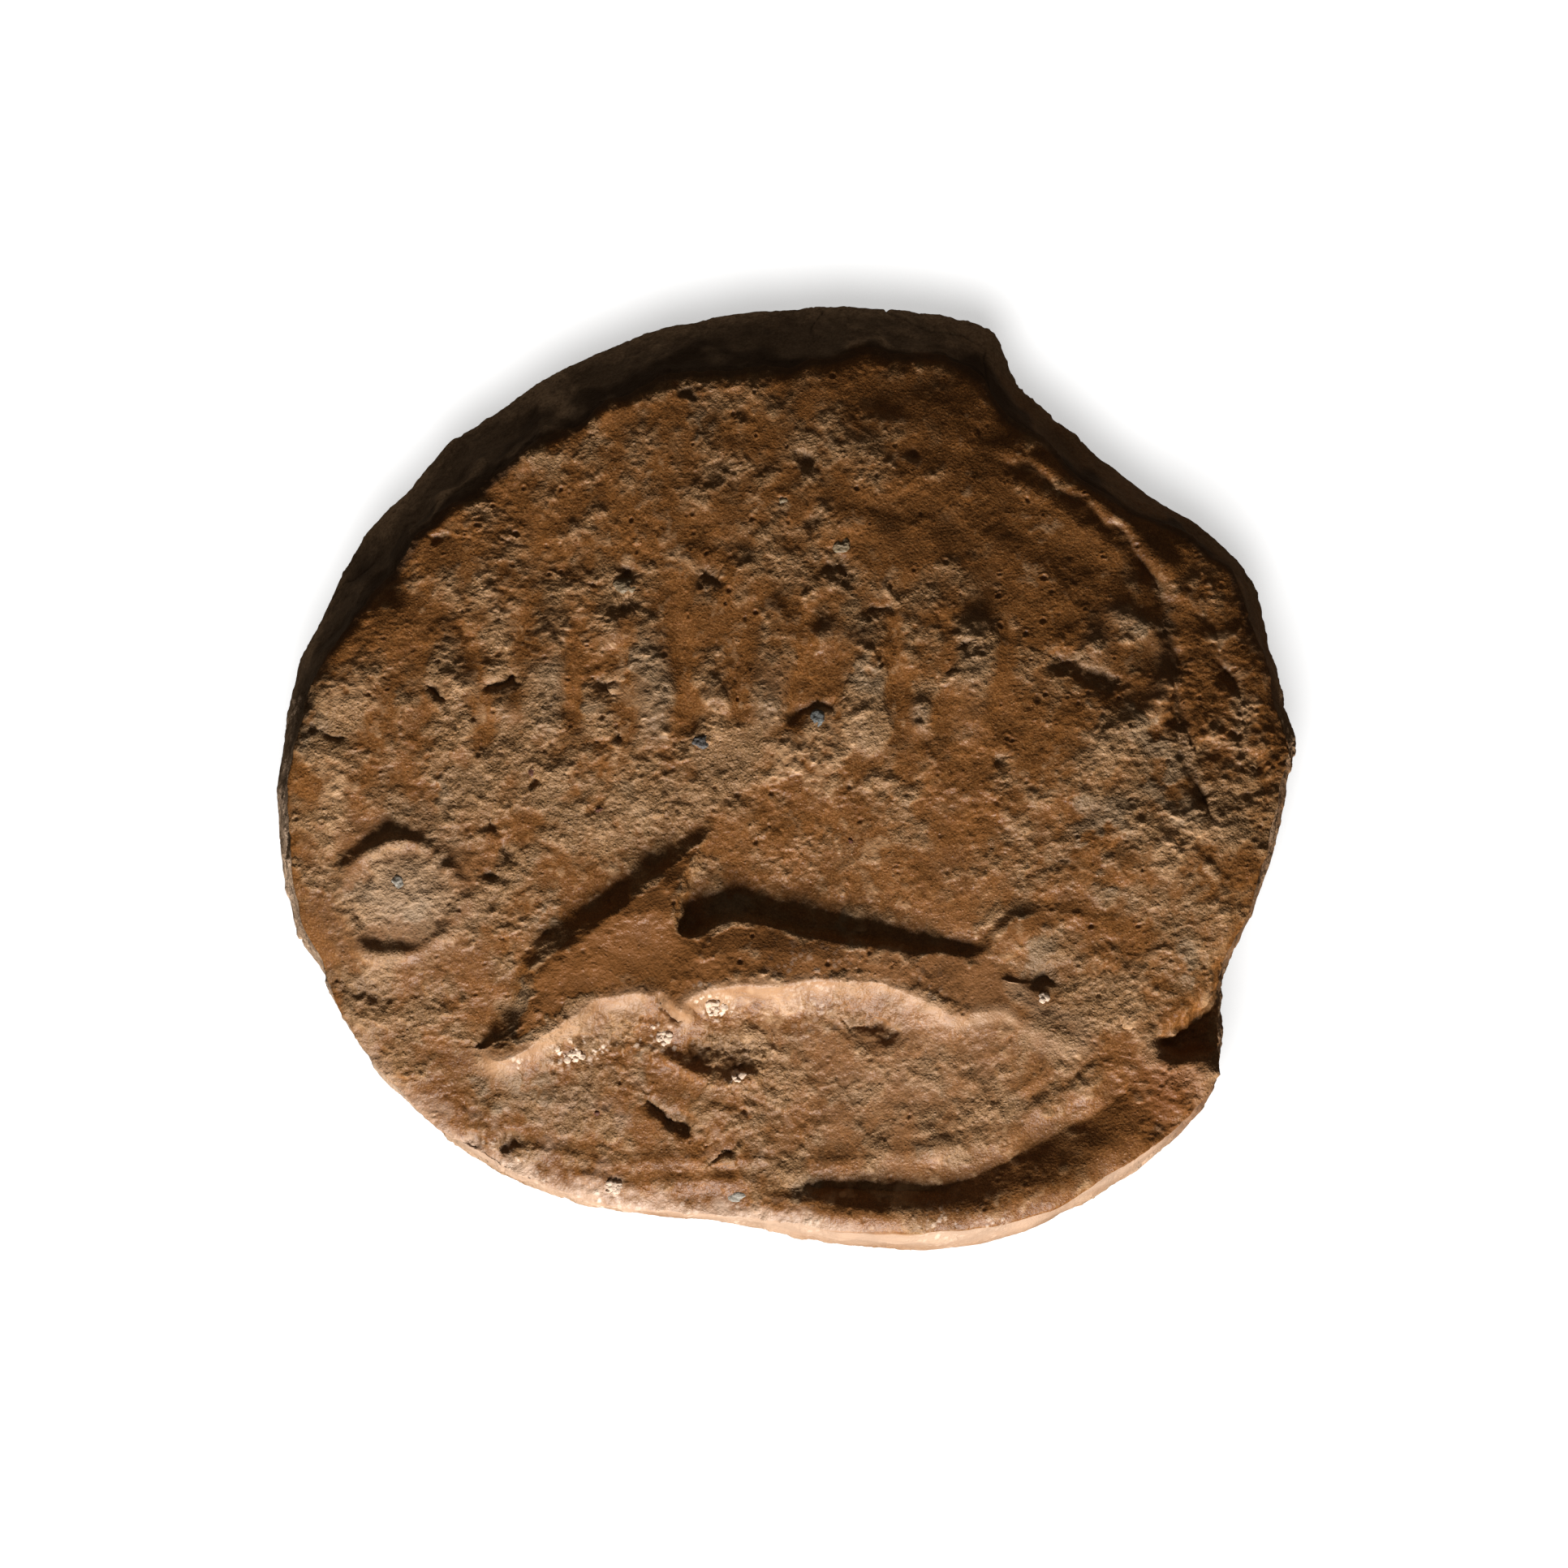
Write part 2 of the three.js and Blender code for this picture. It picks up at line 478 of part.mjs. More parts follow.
// One lumpy grain, as large as its shares say and grown all over by a gap
function grainGeometry(grain, grown) {
  const geometry = new THREE.IcosahedronGeometry(1, Math.round(GRAIN_DETAIL));
  const place = geometry.getAttribute("position");
  const corner = new THREE.Vector3();
  for (let i = 0; i < place.count; i += 1) {
    corner.fromBufferAttribute(place, i);
    const wave = Math.sin(3 * corner.x + grain.turn) * Math.cos(4 * corner.y) + Math.sin(5 * corner.z);
    corner.multiplyScalar(1 + (GRAIN_LUMP_SHARE * wave) / 2);
    place.setXYZ(i, corner.x, corner.y, corner.z);
  }
  const [length, width, height] = grain.sizeShares.map((share) => (share * GRAIN_LENGTH) / 2 + grown);
  return geometry.scale(length, width, height);
}

// Sets a grain into the face, turned and partly sunk
function setGrain(object, grain) {
  const place = placed(grain.placeShares);
  const sunk = grain.sunkShare * grain.sizeShares[2] * GRAIN_LENGTH;
  object.position.set(place.x, place.y, faceHeight(place.x, place.y) - sunk);
  object.rotation.z = grain.turn;
  return object;
}

// The clay with the string's groove and a close pocket round each grain cut out of it
function clayGeometry() {
  let solid = solidFrom(lumpGeometry()).subtract(solidFrom(stringGeometry()));
  for (const grain of grains) {
    const pocket = setGrain(new THREE.Mesh(grainGeometry(grain, GRAIN_GAP)), grain);
    pocket.updateMatrixWorld();
    solid = solid.subtract(solidFrom(pocket.geometry.applyMatrix4(pocket.matrixWorld)));
  }
  return geometryFrom(solid);
}

const bulla = new THREE.Group();
const lump = new THREE.Mesh(clayGeometry(), materials.clay);
lump.name = "clay_lump";
bulla.add(lump);
for (const grain of grains) {
  const mesh = setGrain(new THREE.Mesh(grainGeometry(grain, 0), materials[grain.material]), grain);
  mesh.name = grain.name;
  bulla.add(mesh);
}
const middle = new THREE.Box3().setFromObject(lump).getCenter(new THREE.Vector3());
bulla.position.set(-middle.x, -middle.y, 0);

const whole = new THREE.Group();
whole.add(bulla);

export default whole;
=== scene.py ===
import math

import bmesh
import bpy
import numpy as np
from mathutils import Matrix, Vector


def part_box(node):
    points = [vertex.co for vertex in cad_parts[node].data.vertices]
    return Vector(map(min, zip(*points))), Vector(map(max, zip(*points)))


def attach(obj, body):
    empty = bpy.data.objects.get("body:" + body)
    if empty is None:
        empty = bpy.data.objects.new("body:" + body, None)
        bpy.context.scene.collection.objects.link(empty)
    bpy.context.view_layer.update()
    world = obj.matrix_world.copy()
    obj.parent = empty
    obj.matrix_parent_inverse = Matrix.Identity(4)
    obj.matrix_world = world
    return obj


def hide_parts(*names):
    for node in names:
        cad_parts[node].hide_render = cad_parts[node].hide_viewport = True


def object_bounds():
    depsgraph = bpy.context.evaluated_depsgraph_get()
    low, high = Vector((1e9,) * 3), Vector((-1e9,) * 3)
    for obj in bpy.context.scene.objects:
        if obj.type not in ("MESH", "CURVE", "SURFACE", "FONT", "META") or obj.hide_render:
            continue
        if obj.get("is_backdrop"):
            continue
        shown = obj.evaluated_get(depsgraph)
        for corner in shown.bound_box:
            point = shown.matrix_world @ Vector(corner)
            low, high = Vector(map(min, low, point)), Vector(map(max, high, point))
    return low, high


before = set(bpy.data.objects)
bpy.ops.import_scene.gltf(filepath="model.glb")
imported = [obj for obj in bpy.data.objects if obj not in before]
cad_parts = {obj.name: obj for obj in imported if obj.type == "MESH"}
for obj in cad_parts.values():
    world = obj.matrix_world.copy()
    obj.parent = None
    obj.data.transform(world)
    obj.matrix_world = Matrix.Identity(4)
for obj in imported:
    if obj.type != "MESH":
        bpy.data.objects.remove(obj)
cad_low, cad_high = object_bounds()

# The view. The lump lies on its back and is looked at from straight above, from far enough away for
# its face and its rim to keep the same scale. Lengths here are in millimetres, and MM makes metres.
MM = 0.001
PHOTO_PIXELS = 1932
PIXELS_PER_MM = 62.95
LUMP_CENTRE_PIXELS = (970.5, 959)
LENS = 400
NEAREST_SEEN = 10
FARTHEST_SEEN = 10000
EQUATOR_HEIGHT = 2.2

view_data = bpy.data.cameras.new("view")
view_data.lens = LENS
view_data.clip_start = NEAREST_SEEN * MM
view_data.clip_end = FARTHEST_SEEN * MM
view = bpy.data.objects.new("view", view_data)
photo_width = PHOTO_PIXELS / PIXELS_PER_MM
view.location = (
    (PHOTO_PIXELS / 2 - LUMP_CENTRE_PIXELS[0]) / PIXELS_PER_MM * MM,
    (LUMP_CENTRE_PIXELS[1] - PHOTO_PIXELS / 2) / PIXELS_PER_MM * MM,
    (EQUATOR_HEIGHT + photo_width * LENS / view_data.sensor_width) * MM,
)
bpy.context.scene.collection.objects.link(view)
bpy.context.scene.camera = view
bpy.context.scene.view_settings.view_transform = "Standard"

# The lump's plan. A ball of soft clay was pressed flat over a document's string by hand, so its
# outline is an uneven oval, with a bite out of its upper right and a broken corner at its lower right.
# Shares are of half the lump's width, x to the right and y to the top, from the middle of the plan.
HALF_WIDTH = (cad_high[0] - cad_low[0]) / 2 / MM
outline_shares = [
    (0.98, 0.0), (0.998, 0.06), (0.988, 0.105), (0.968, 0.15), (0.955, 0.2), (0.928, 0.3),
    (0.918, 0.35), (0.9, 0.4), (0.885, 0.425), (0.85, 0.452), (0.8, 0.497), (0.75, 0.525),
    (0.7, 0.552), (0.6, 0.627), (0.55, 0.675), (0.5, 0.712), (0.462, 0.745), (0.435, 0.785),
    (0.418, 0.83), (0.405, 0.855), (0.38, 0.877), (0.3, 0.903), (0.2, 0.92), (0.1, 0.925),
    (0.0, 0.921), (-0.1, 0.91), (-0.25, 0.877), (-0.35, 0.843), (-0.45, 0.796), (-0.55, 0.731),
    (-0.65, 0.667), (-0.7, 0.618), (-0.75, 0.556), (-0.8, 0.507), (-0.85, 0.44), (-0.9, 0.348),
    (-0.95, 0.24), (-0.97, 0.17), (-0.985, 0.09), (-1.0, 0.0), (-0.995, -0.12), (-0.978, -0.24),
    (-0.962, -0.3), (-0.918, -0.375), (-0.903, -0.42), (-0.845, -0.52), (-0.8, -0.583), (-0.7, -0.68),
    (-0.6, -0.75), (-0.5, -0.8), (-0.35, -0.845), (-0.1, -0.875), (0.1, -0.912), (0.22, -0.925),
    (0.3, -0.921), (0.4, -0.902), (0.5, -0.866), (0.6, -0.815), (0.7, -0.747), (0.77, -0.69),
    (0.82, -0.63), (0.845, -0.57), (0.848, -0.5), (0.843, -0.45), (0.855, -0.375), (0.905, -0.27),
    (0.95, -0.15), (0.972, -0.05),
]
# How far the side wall reaches in from the outline, every 15 degrees from the right
wall_width_shares = [
    0.018, 0.02, 0.035, 0.045, 0.055, 0.09, 0.105, 0.1, 0.092, 0.1, 0.08, 0.048,
    0.03, 0.02, 0.014, 0.013, 0.014, 0.016, 0.024, 0.045, 0.024, 0.022, 0.015, 0.015,
]
# How much the wall's upper edge wanders, as a share of the wall's width. This and the other tables of
# layers list several sizes of unevenness as [weight, cell in millimetres, seed].
wall_edge_layers = [(0.2, 1.5, 31), (0.1, 0.6, 32), (0.0375, 0.25, 33)]
PLAN_SPAN_STEPS = 5
LATTICE_CELLS = 32
# Keeps the numbers of the lattice's cells above zero
LATTICE_START = 1000


def line_through(shares, closed=False):
    """A smooth line through points given as shares, as rows of x and y in millimetres."""
    knots = np.asarray(shares, float) * HALF_WIDTH
    if closed:
        padded = np.vstack([knots[-1:], knots, knots[:2]])
    else:
        padded = np.vstack([knots[:1], knots, knots[-1:]])
    a, b, c, d = padded[:-3], padded[1:-2], padded[2:-1], padded[3:]
    parts = []
    for step in range(PLAN_SPAN_STEPS):
        t = step / PLAN_SPAN_STEPS
        slope = (c - a) * t + (2 * a - 5 * b + 4 * c - d) * t**2 + (3 * b - a - 3 * c + d) * t**3
        parts.append(b + slope / 2)
    line = np.stack(parts, 1).reshape(-1, 2)
    return line if closed else np.vstack([line, knots[-1:]])


def noise(places, cell, seed):
    """Smooth random values from -1 to 1 that change over a cell's length, on a turned lattice."""
    source = np.random.default_rng(seed)
    table = source.uniform(-1, 1, (LATTICE_CELLS,) * 3)
    turned = places @ np.linalg.qr(source.normal(size=(3, 3)))[0]
    scaled = turned / cell + LATTICE_START
    low = np.floor(scaled).astype(int)
    t = scaled - low
    t = t * t * (3 - 2 * t)
    value = np.zeros(len(places))
    for corner in np.ndindex(2, 2, 2):
        weight = np.prod(np.where(corner, t, 1 - t), 1)
        value += weight * table[tuple(((low + corner) % LATTICE_CELLS).T)]
    return value


def layers(places, table):
    """Several sizes of unevenness laid over each other."""
    return sum(weight * noise(places, cell, seed) for weight, cell, seed in table)


def level(x, y):
    """Places at height zero."""
    return np.stack([x, y, 0 * x], 1)


plan = line_through(outline_shares, closed=True)
plan_turns = np.arctan2(plan[:, 1], plan[:, 0]) % math.tau
plan_order = np.argsort(plan_turns)
plan_radii = np.hypot(plan[:, 0], plan[:, 1])[plan_order]
plan_turns = plan_turns[plan_order]
wall_turns = np.arange(len(wall_width_shares)) * math.tau / len(wall_width_shares)


def outline_radius(turn):
    return np.interp(turn, plan_turns, plan_radii, period=math.tau)


def wall_width(turn):
    width = HALF_WIDTH * np.interp(turn, wall_turns, wall_width_shares, period=math.tau)
    rim = HALF_WIDTH * level(np.cos(turn), np.sin(turn))
    return width * (1 + layers(rim, wall_edge_layers))


# The stamped face. An oval engraved seal was pushed into the soft clay, so what was cut into the seal
# stands up here: a fish with a tall back fin, a ring before it, a worn row of leaves and pellets, a
# crescent and the seal's border lines. The sealed clay squeezed up as a lip round the seal's edge.
FACE_HEIGHT = 5.22
FACE_DROP_ACROSS = 0.7
FACE_DROP_ALONG = 0.65
# The face bends down towards the top, the upper right and the lower left: [x, y] of the way down, how far
# from the middle the bend lies, how soft the bend is, and the slope beyond it
face_bends = [((0.0, 1.0), 1.2, 0.6, 0.08), ((0.8, 0.6), 5.0, 1.0, 0.26), ((-0.6, -0.8), 6.6, 0.8, 0.1)]
# The face rounds off towards its edge, more tightly at the top
EDGE_DROP = 0.12
EDGE_REACH = 0.6
TOP_EDGE_REACH = 0.3
edge_layers = [(0.5, 0.7, 34)]
# How much of a pressed line's or a crack's length fades out at each end
LINE_FADE_SHARE = 0.12


def mound(distance, reach):
    """1 in the middle, nearly nothing at twice the reach."""
    return np.exp(-((distance / reach) ** 2))


def soft_step(value, low, high):
    t = np.clip((value - low) / (high - low), 0, 1)
    return t * t * (3 - 2 * t)


def nearest_on(line, x, y, closed=False):
    """How far each place is from the line, and how far along the line its nearest point is."""
    distance = np.full(x.shape, np.inf)
    along = np.zeros(x.shape)
    ends = np.roll(line, -1, 0) if closed else line[1:]
    for index, (start, end) in enumerate(zip(line, ends)):
        span = end - start
        reach = ((x - start[0]) * span[0] + (y - start[1]) * span[1]) / max(span @ span, 1e-12)
        reach = np.clip(reach, 0, 1)
        gap = np.hypot(x - start[0] - reach * span[0], y - start[1] - reach * span[1])
        closer = gap < distance
        distance[closer] = gap[closer]
        along[closer] = ((index + reach) / len(ends))[closer]
    return distance, along


def close_to(line, x, y, margin):
    """The places whose x and y lie in the line's box, grown by a margin."""
    low, high = line.min(0) - margin, line.max(0) + margin
    return np.nonzero((x > low[0]) & (x < high[0]) & (y > low[1]) & (y < high[1]))[0]


def ridge(x, y, shares, width):
    """A rounded line, 1 on its crest, which fades out at both ends."""
    line = line_through(shares)
    near = close_to(line, x, y, 3 * width)
    distance, along = nearest_on(line, x[near], y[near])
    fade = soft_step(np.minimum(along, 1 - along) / LINE_FADE_SHARE, -0.5, 1)
    height = np.zeros(x.shape)
    height[near] = mound(distance, width) * fade
    return height


def inside(loop, x, y):
    odd = np.zeros(x.shape, bool)
    for (ax, ay), (bx, by) in zip(loop, np.roll(loop, -1, 0)):
        crosses = (ay > y) != (by > y)
        rise = by - ay if by != ay else 1e-12
        odd ^= crosses & (x < (bx - ax) * (y - ay) / rise + ax)
    return odd


# The fish, which swims to the left
FISH_HEIGHT = 0.46
FISH_CROWN = 0.05
FISH_CROWN_WIDTH = 0.8
FISH_LEAN = 0.08
FISH_LEAN_REACH = 0.8
# How far the belly's flank runs out, as a share of its listed width, and the power of its curve
BELLY_RUN_OUT = 1.7
BELLY_CURVE = 2.4
fish_shares = [
    (-0.6, -0.525), (-0.58, -0.555), (-0.52, -0.534), (-0.465, -0.494), (-0.385, -0.44), (-0.32, -0.42),
    (-0.25, -0.428), (-0.21, -0.452), (-0.195, -0.433), (-0.145, -0.413), (-0.08, -0.4), (0.015, -0.398),
    (0.1, -0.4), (0.175, -0.4), (0.228, -0.413), (0.282, -0.44), (0.328, -0.47), (0.361, -0.462),
    (0.415, -0.454), (0.455, -0.48), (0.515, -0.52), (0.57, -0.52), (0.55, -0.485), (0.48, -0.45),
    (0.43, -0.4), (0.44, -0.34), (0.51, -0.3), (0.59, -0.272), (0.56, -0.245), (0.48, -0.24),
    (0.415, -0.275), (0.389, -0.318), (0.349, -0.336), (0.282, -0.328), (0.2, -0.318), (0.122, -0.308),
    (0.068, -0.298), (0.015, -0.284), (-0.052, -0.266), (-0.118, -0.256), (-0.16, -0.272), (-0.2, -0.285),
    (-0.19, -0.22), (-0.165, -0.15), (-0.14, -0.09), (-0.19, -0.12), (-0.26, -0.17), (-0.33, -0.222),
    (-0.4, -0.267), (-0.455, -0.312), (-0.503, -0.36), (-0.528, -0.41), (-0.54, -0.455), (-0.575, -0.49),
]
# How much of the fish's height it has from snout to tail, and up its fin: [place, share of the height]
fish_length_shares = [
    (-0.62, 0.15), (-0.54, 0.66), (-0.48, 0.95), (-0.4, 1), (-0.25, 0.95), (-0.1, 0.95), (0.07, 1),
    (0.2, 0.78), (0.3, 0.55), (0.4, 0.28), (0.6, 0.06),
]
fish_fin_shares = [(-0.26, 1), (-0.2, 0.75), (-0.09, 0.15)]
# How wide the slope behind its head and its back is: [place, millimetres]
fish_back_widths = [(-0.6, 0.6), (-0.36, 0.55), (-0.2, 0.3), (-0.1, 0.26), (0.3, 0.3)]
# The middle line of its body, from which the back leans down towards the top
fish_middle_shares = [(-0.6, -0.53), (-0.4, -0.4), (-0.2, -0.36), (0.0, -0.335), (0.2, -0.36), (0.5, -0.4)]
# How far the belly's flank runs out below the body: [place, millimetres]
fish_belly_widths = [
    (-0.55, 0.45), (-0.4, 0.6), (-0.26, 0.55), (-0.2, 0.4), (0.1, 0.5), (0.3, 0.45), (0.55, 0.4),
]


def fish(x, y):
    """The fish's height, where its smooth top is, and where its belly's flank catches the light."""
    loop = line_through(fish_shares, closed=True)
    near = close_to(loop, x, y, 2)
    distance, _ = nearest_on(loop, x[near], y[near], closed=True)
    depth = np.where(inside(loop, x[near], y[near]), distance, -distance)
    across, up = x[near] / HALF_WIDTH, y[near] / HALF_WIDTH
    below = np.interp(across, *np.array(fish_middle_shares).T) - up
    belly = np.interp(across, *np.array(fish_belly_widths).T)
    back_width = np.interp(across, *np.array(fish_back_widths).T)
    back_flank = soft_step(depth / back_width, -0.35, 0.65)
    belly_flank = np.clip(1 + depth / (BELLY_RUN_OUT * belly), 0, 1) ** BELLY_CURVE
    flank = np.where(below > 0, belly_flank, back_flank)
    crown = soft_step(depth, 0, FISH_CROWN_WIDTH)
    length = np.interp(across, *np.array(fish_length_shares).T)
    fin = np.interp(up, *np.array(fish_fin_shares).T)
    lean = np.clip(below * HALF_WIDTH, -FISH_LEAN_REACH, FISH_LEAN_REACH)
    height = np.zeros(x.shape)
    height[near] = (FISH_HEIGHT * flank + FISH_CROWN * crown + FISH_LEAN * lean * flank) * length * fin
    top = np.zeros(x.shape)
    top[near] = soft_step(depth, 0.05, 0.45)
    lit = np.zeros(x.shape)
    lit[near] = np.where(below > 0, soft_step(belly_flank, 0.1, 0.6) * soft_step(-depth, -0.25, 0.05), 0)
    return height, top, lit


# The knob under its belly and the ring before it: [x, y], sizes in millimetres
KNOB_HEIGHT = 0.1
KNOB_RADIUS = 0.6
knob_shares = (-0.14, -0.625)
RING_RADIUS = 1.13
RING_WIDTH = 0.16
RING_HEIGHT = 0.105
ring_shares = (-0.75, -0.235)
ring_wander_layers = [(0.12, 0.7, 53)]
ring_wear_layers = [(0.8, 0.6, 54)]

# The worn row across the middle: leaf-shaped bosses with their lean, and pellets between them
LEAF_LENGTH = 2.9
LEAF_WIDTH = 0.42
LEAF_HEIGHT = 0.1
LEAF_GROOVE_PLACE = 0.6
LEAF_GROOVE_WIDTH = 0.19
LEAF_GROOVE_DEPTH = 0.075
LEAF_GROOVE_LEFT = 0.75
groove_wear_layers = [(0.7, 0.9, 63)]
# From this height on a leaf or a pellet counts as fully raised
ROW_RAISED_HEIGHT = 0.08
PELLET_RADIUS = 0.26
PELLET_HEIGHT = 0.11
leaves = [
    ((-0.66, 0.17), 0.1), ((-0.47, 0.21), -0.05), ((-0.26, 0.19), 0.07),
    ((-0.03, 0.22), -0.08), ((0.15, 0.18), 0.04), ((0.36, 0.2), -0.07),
]
pellet_shares = [(-0.54, 0.13), (-0.34, 0.28), (-0.14, 0.16), (0.07, 0.28), (0.25, 0.12), (0.6, 0.265)]
CRESCENT_RADIUS = 1.15
CRESCENT_WIDTH = 0.22
CRESCENT_HEIGHT = 0.09
CRESCENT_HALF_SPAN = math.radians(105)
crescent_shares = (0.62, 0.21)


def offset_from(shares, x, y):
    return x - shares[0] * HALF_WIDTH, y - shares[1] * HALF_WIDTH


def leaf_row(x, y):
    """The row's height, with a smooth groove on both sides of each leaf, and where the grooves are."""
    height, grooves = np.zeros(x.shape), np.zeros(x.shape)
    for place, lean in leaves:
        right, up = offset_from(place, x, y)
        across = right * math.cos(lean) + up * math.sin(lean)
        along = up * math.cos(lean) - right * math.sin(lean)
        taper = np.clip(1 - (along / (LEAF_LENGTH / 2)) ** 2, 1e-6, 1)
        height += LEAF_HEIGHT * taper * mound(across, LEAF_WIDTH * np.sqrt(taper))
        # The grooves run out at the leaf's two tips, and the one on its right is the deeper
        groove = soft_step(taper, 0.1, 0.8) * mound(np.abs(across) - LEAF_GROOVE_PLACE, LEAF_GROOVE_WIDTH)
        grooves = np.maximum(grooves, groove * soft_step(across, -2.2, 0.4))
    grooves *= np.clip(LEAF_GROOVE_LEFT + layers(level(x, y), groove_wear_layers), 0, 1)
    height -= LEAF_GROOVE_DEPTH * grooves
    for place in pellet_shares:
        height += PELLET_HEIGHT * mound(np.hypot(*offset_from(place, x, y)), PELLET_RADIUS)
    right, up = offset_from(crescent_shares, x, y)
    fade = soft_step(CRESCENT_HALF_SPAN - np.abs(np.arctan2(up, right)), 0, CRESCENT_HALF_SPAN / 3)
    height += CRESCENT_HEIGHT * fade * mound(np.hypot(right, up) - CRESCENT_RADIUS, CRESCENT_WIDTH)
    return height, grooves


# The seal's border lines, and the lips of clay round them: [points, width, height]
border_lines = [
    ([(0.388, 0.658), (0.468, 0.626), (0.547, 0.578), (0.627, 0.523), (0.674, 0.483), (0.714, 0.443),
      (0.762, 0.38), (0.801, 0.332)], 0.2, 0.05),
    ([(0.44, 0.585), (0.5, 0.55), (0.56, 0.505), (0.61, 0.455)], 0.17, 0.045),
    ([(-0.02, -0.755), (0.1, -0.748), (0.225, -0.735), (0.32, -0.715), (0.4, -0.686), (0.48, -0.65),
      (0.544, -0.615), (0.62, -0.56)], 0.26, 0.09),
    ([(0.2, -0.7), (0.34, -0.665), (0.45, -0.61), (0.54, -0.55)], 0.14, 0.03),
    ([(-0.42, -0.77), (-0.34, -0.785), (-0.2, -0.79), (-0.03, -0.795)], 0.19, 0.07),
    ([(-0.5, -0.725), (-0.36, -0.745), (-0.2, -0.745), (-0.04, -0.745)], 0.18, 0.055),
    ([(-0.26, -0.54), (-0.19, -0.567), (-0.137, -0.582), (-0.087, -0.584), (-0.05, -0.565)], 0.15, 0.08),
]
lips = [
    ([(-0.5, -0.77), (-0.35, -0.818), (-0.15, -0.85), (0.02, -0.86)], 0.3, 0.05),
    ([(-0.74, 0.44), (-0.62, 0.555), (-0.5, 0.635), (-0.35, 0.705), (-0.2, 0.755), (0.0, 0.785)], 0.2, 0.04),
]
line_wear_layers = [(0.9, 0.6, 66)]
# The high lip at the lower right rises from the seal's edge to the lump's rim. Its foot, points that close
# it beyond the rim, and how wide its slope is: [place, millimetres]
LIP_HEIGHT = 0.42
lip_foot_shares = [
    (-0.12, -0.8), (-0.03, -0.797), (0.05, -0.797), (0.15, -0.805), (0.27, -0.81), (0.35, -0.785),
    (0.42, -0.75), (0.473, -0.721), (0.54, -0.683), (0.6, -0.65), (0.668, -0.6), (0.74, -0.54),
]
lip_beyond_shares = [(1.3, -0.4), (1.3, -1.3), (-0.12, -1.3)]
lip_widths = [(-0.1, 0.5), (0.27, 0.6), (0.4, 1.0), (0.5, 1.25), (0.75, 1.35)]
LIP_START_FADE = 0.25
LIP_END_FADE = 0.2

# Losses to the face: [x, y, reach, depth], the reach and depth in millimetres
hollows = [
    (0.86, -0.42, 0.7, 0.25), (-0.81, 0.4, 0.6, 0.45), (0.4, 0.7, 0.7, 0.08), (0.755, 0.235, 0.28, 0.12),
    (0.855, 0.2, 0.24, 0.13), (0.82, 0.06, 0.26, 0.1), (0.91, 0.03, 0.2, 0.1), (0.71, 0.11, 0.25, 0.08),
    (0.8, -0.12, 0.25, 0.08),
]
# The notch where the corner broke away, with points beyond the rim. Its edge slopes from outside to inside.
NOTCH_DEPTH = 0.5
NOTCH_EDGE_OUTSIDE = 0.16
NOTCH_EDGE_INSIDE = 0.3
notch_shares = [
    (0.835, -0.395), (0.77, -0.455), (0.711, -0.512), (0.745, -0.538), (0.85, -0.548), (1.1, -0.56),
    (1.1, -0.3), (0.88, -0.345),
]
PIT_CURVE = 2.5
PIT_DEPTH_SHARE = 0.8
# Pits where grains or straw fell out: [x, y, reach, depth]
pits = [
    (-0.31, 0.405, 0.2, 0.16), (-0.31, 0.335, 0.22, 0.15), (-0.155, 0.39, 0.26, 0.19),
    (0.1, 0.405, 0.28, 0.16), (0.04, 0.625, 0.17, 0.14), (-0.12, 0.6, 0.35, 0.08), (-0.015, 0.53, 0.16, 0.12),
    (0.045, 0.505, 0.18, 0.12), (-0.19, 0.755, 0.14, 0.14), (0.24, 0.64, 0.13, 0.1),
    (-0.68, 0.47, 0.12, 0.12), (-0.575, -0.09, 0.16, 0.18), (-0.545, -0.14, 0.17, 0.18),
    (-0.58, -0.185, 0.14, 0.15), (-0.665, -0.165, 0.12, 0.12), (-0.495, -0.015, 0.11, 0.12),
    (0.65, -0.485, 0.13, 0.13), (-0.61, -0.705, 0.16, 0.14), (-0.54, -0.71, 0.22, 0.28),
    (0.81, -0.03, 0.18, 0.15), (0.495, -0.375, 0.27, 0.28), (0.72, -0.68, 0.24, 0.1),
    (-0.95, 0.15, 0.2, 0.2), (-0.89, -0.39, 0.3, 0.12),
    (-0.347, 0.176, 0.2, 0.16), (-0.326, 0.086, 0.1, 0.12), (0.349, 0.259, 0.14, 0.14),
    (0.32, 0.208, 0.1, 0.1), (0.25, 0.124, 0.13, 0.12), (0.412, 0.033, 0.14, 0.12),
]
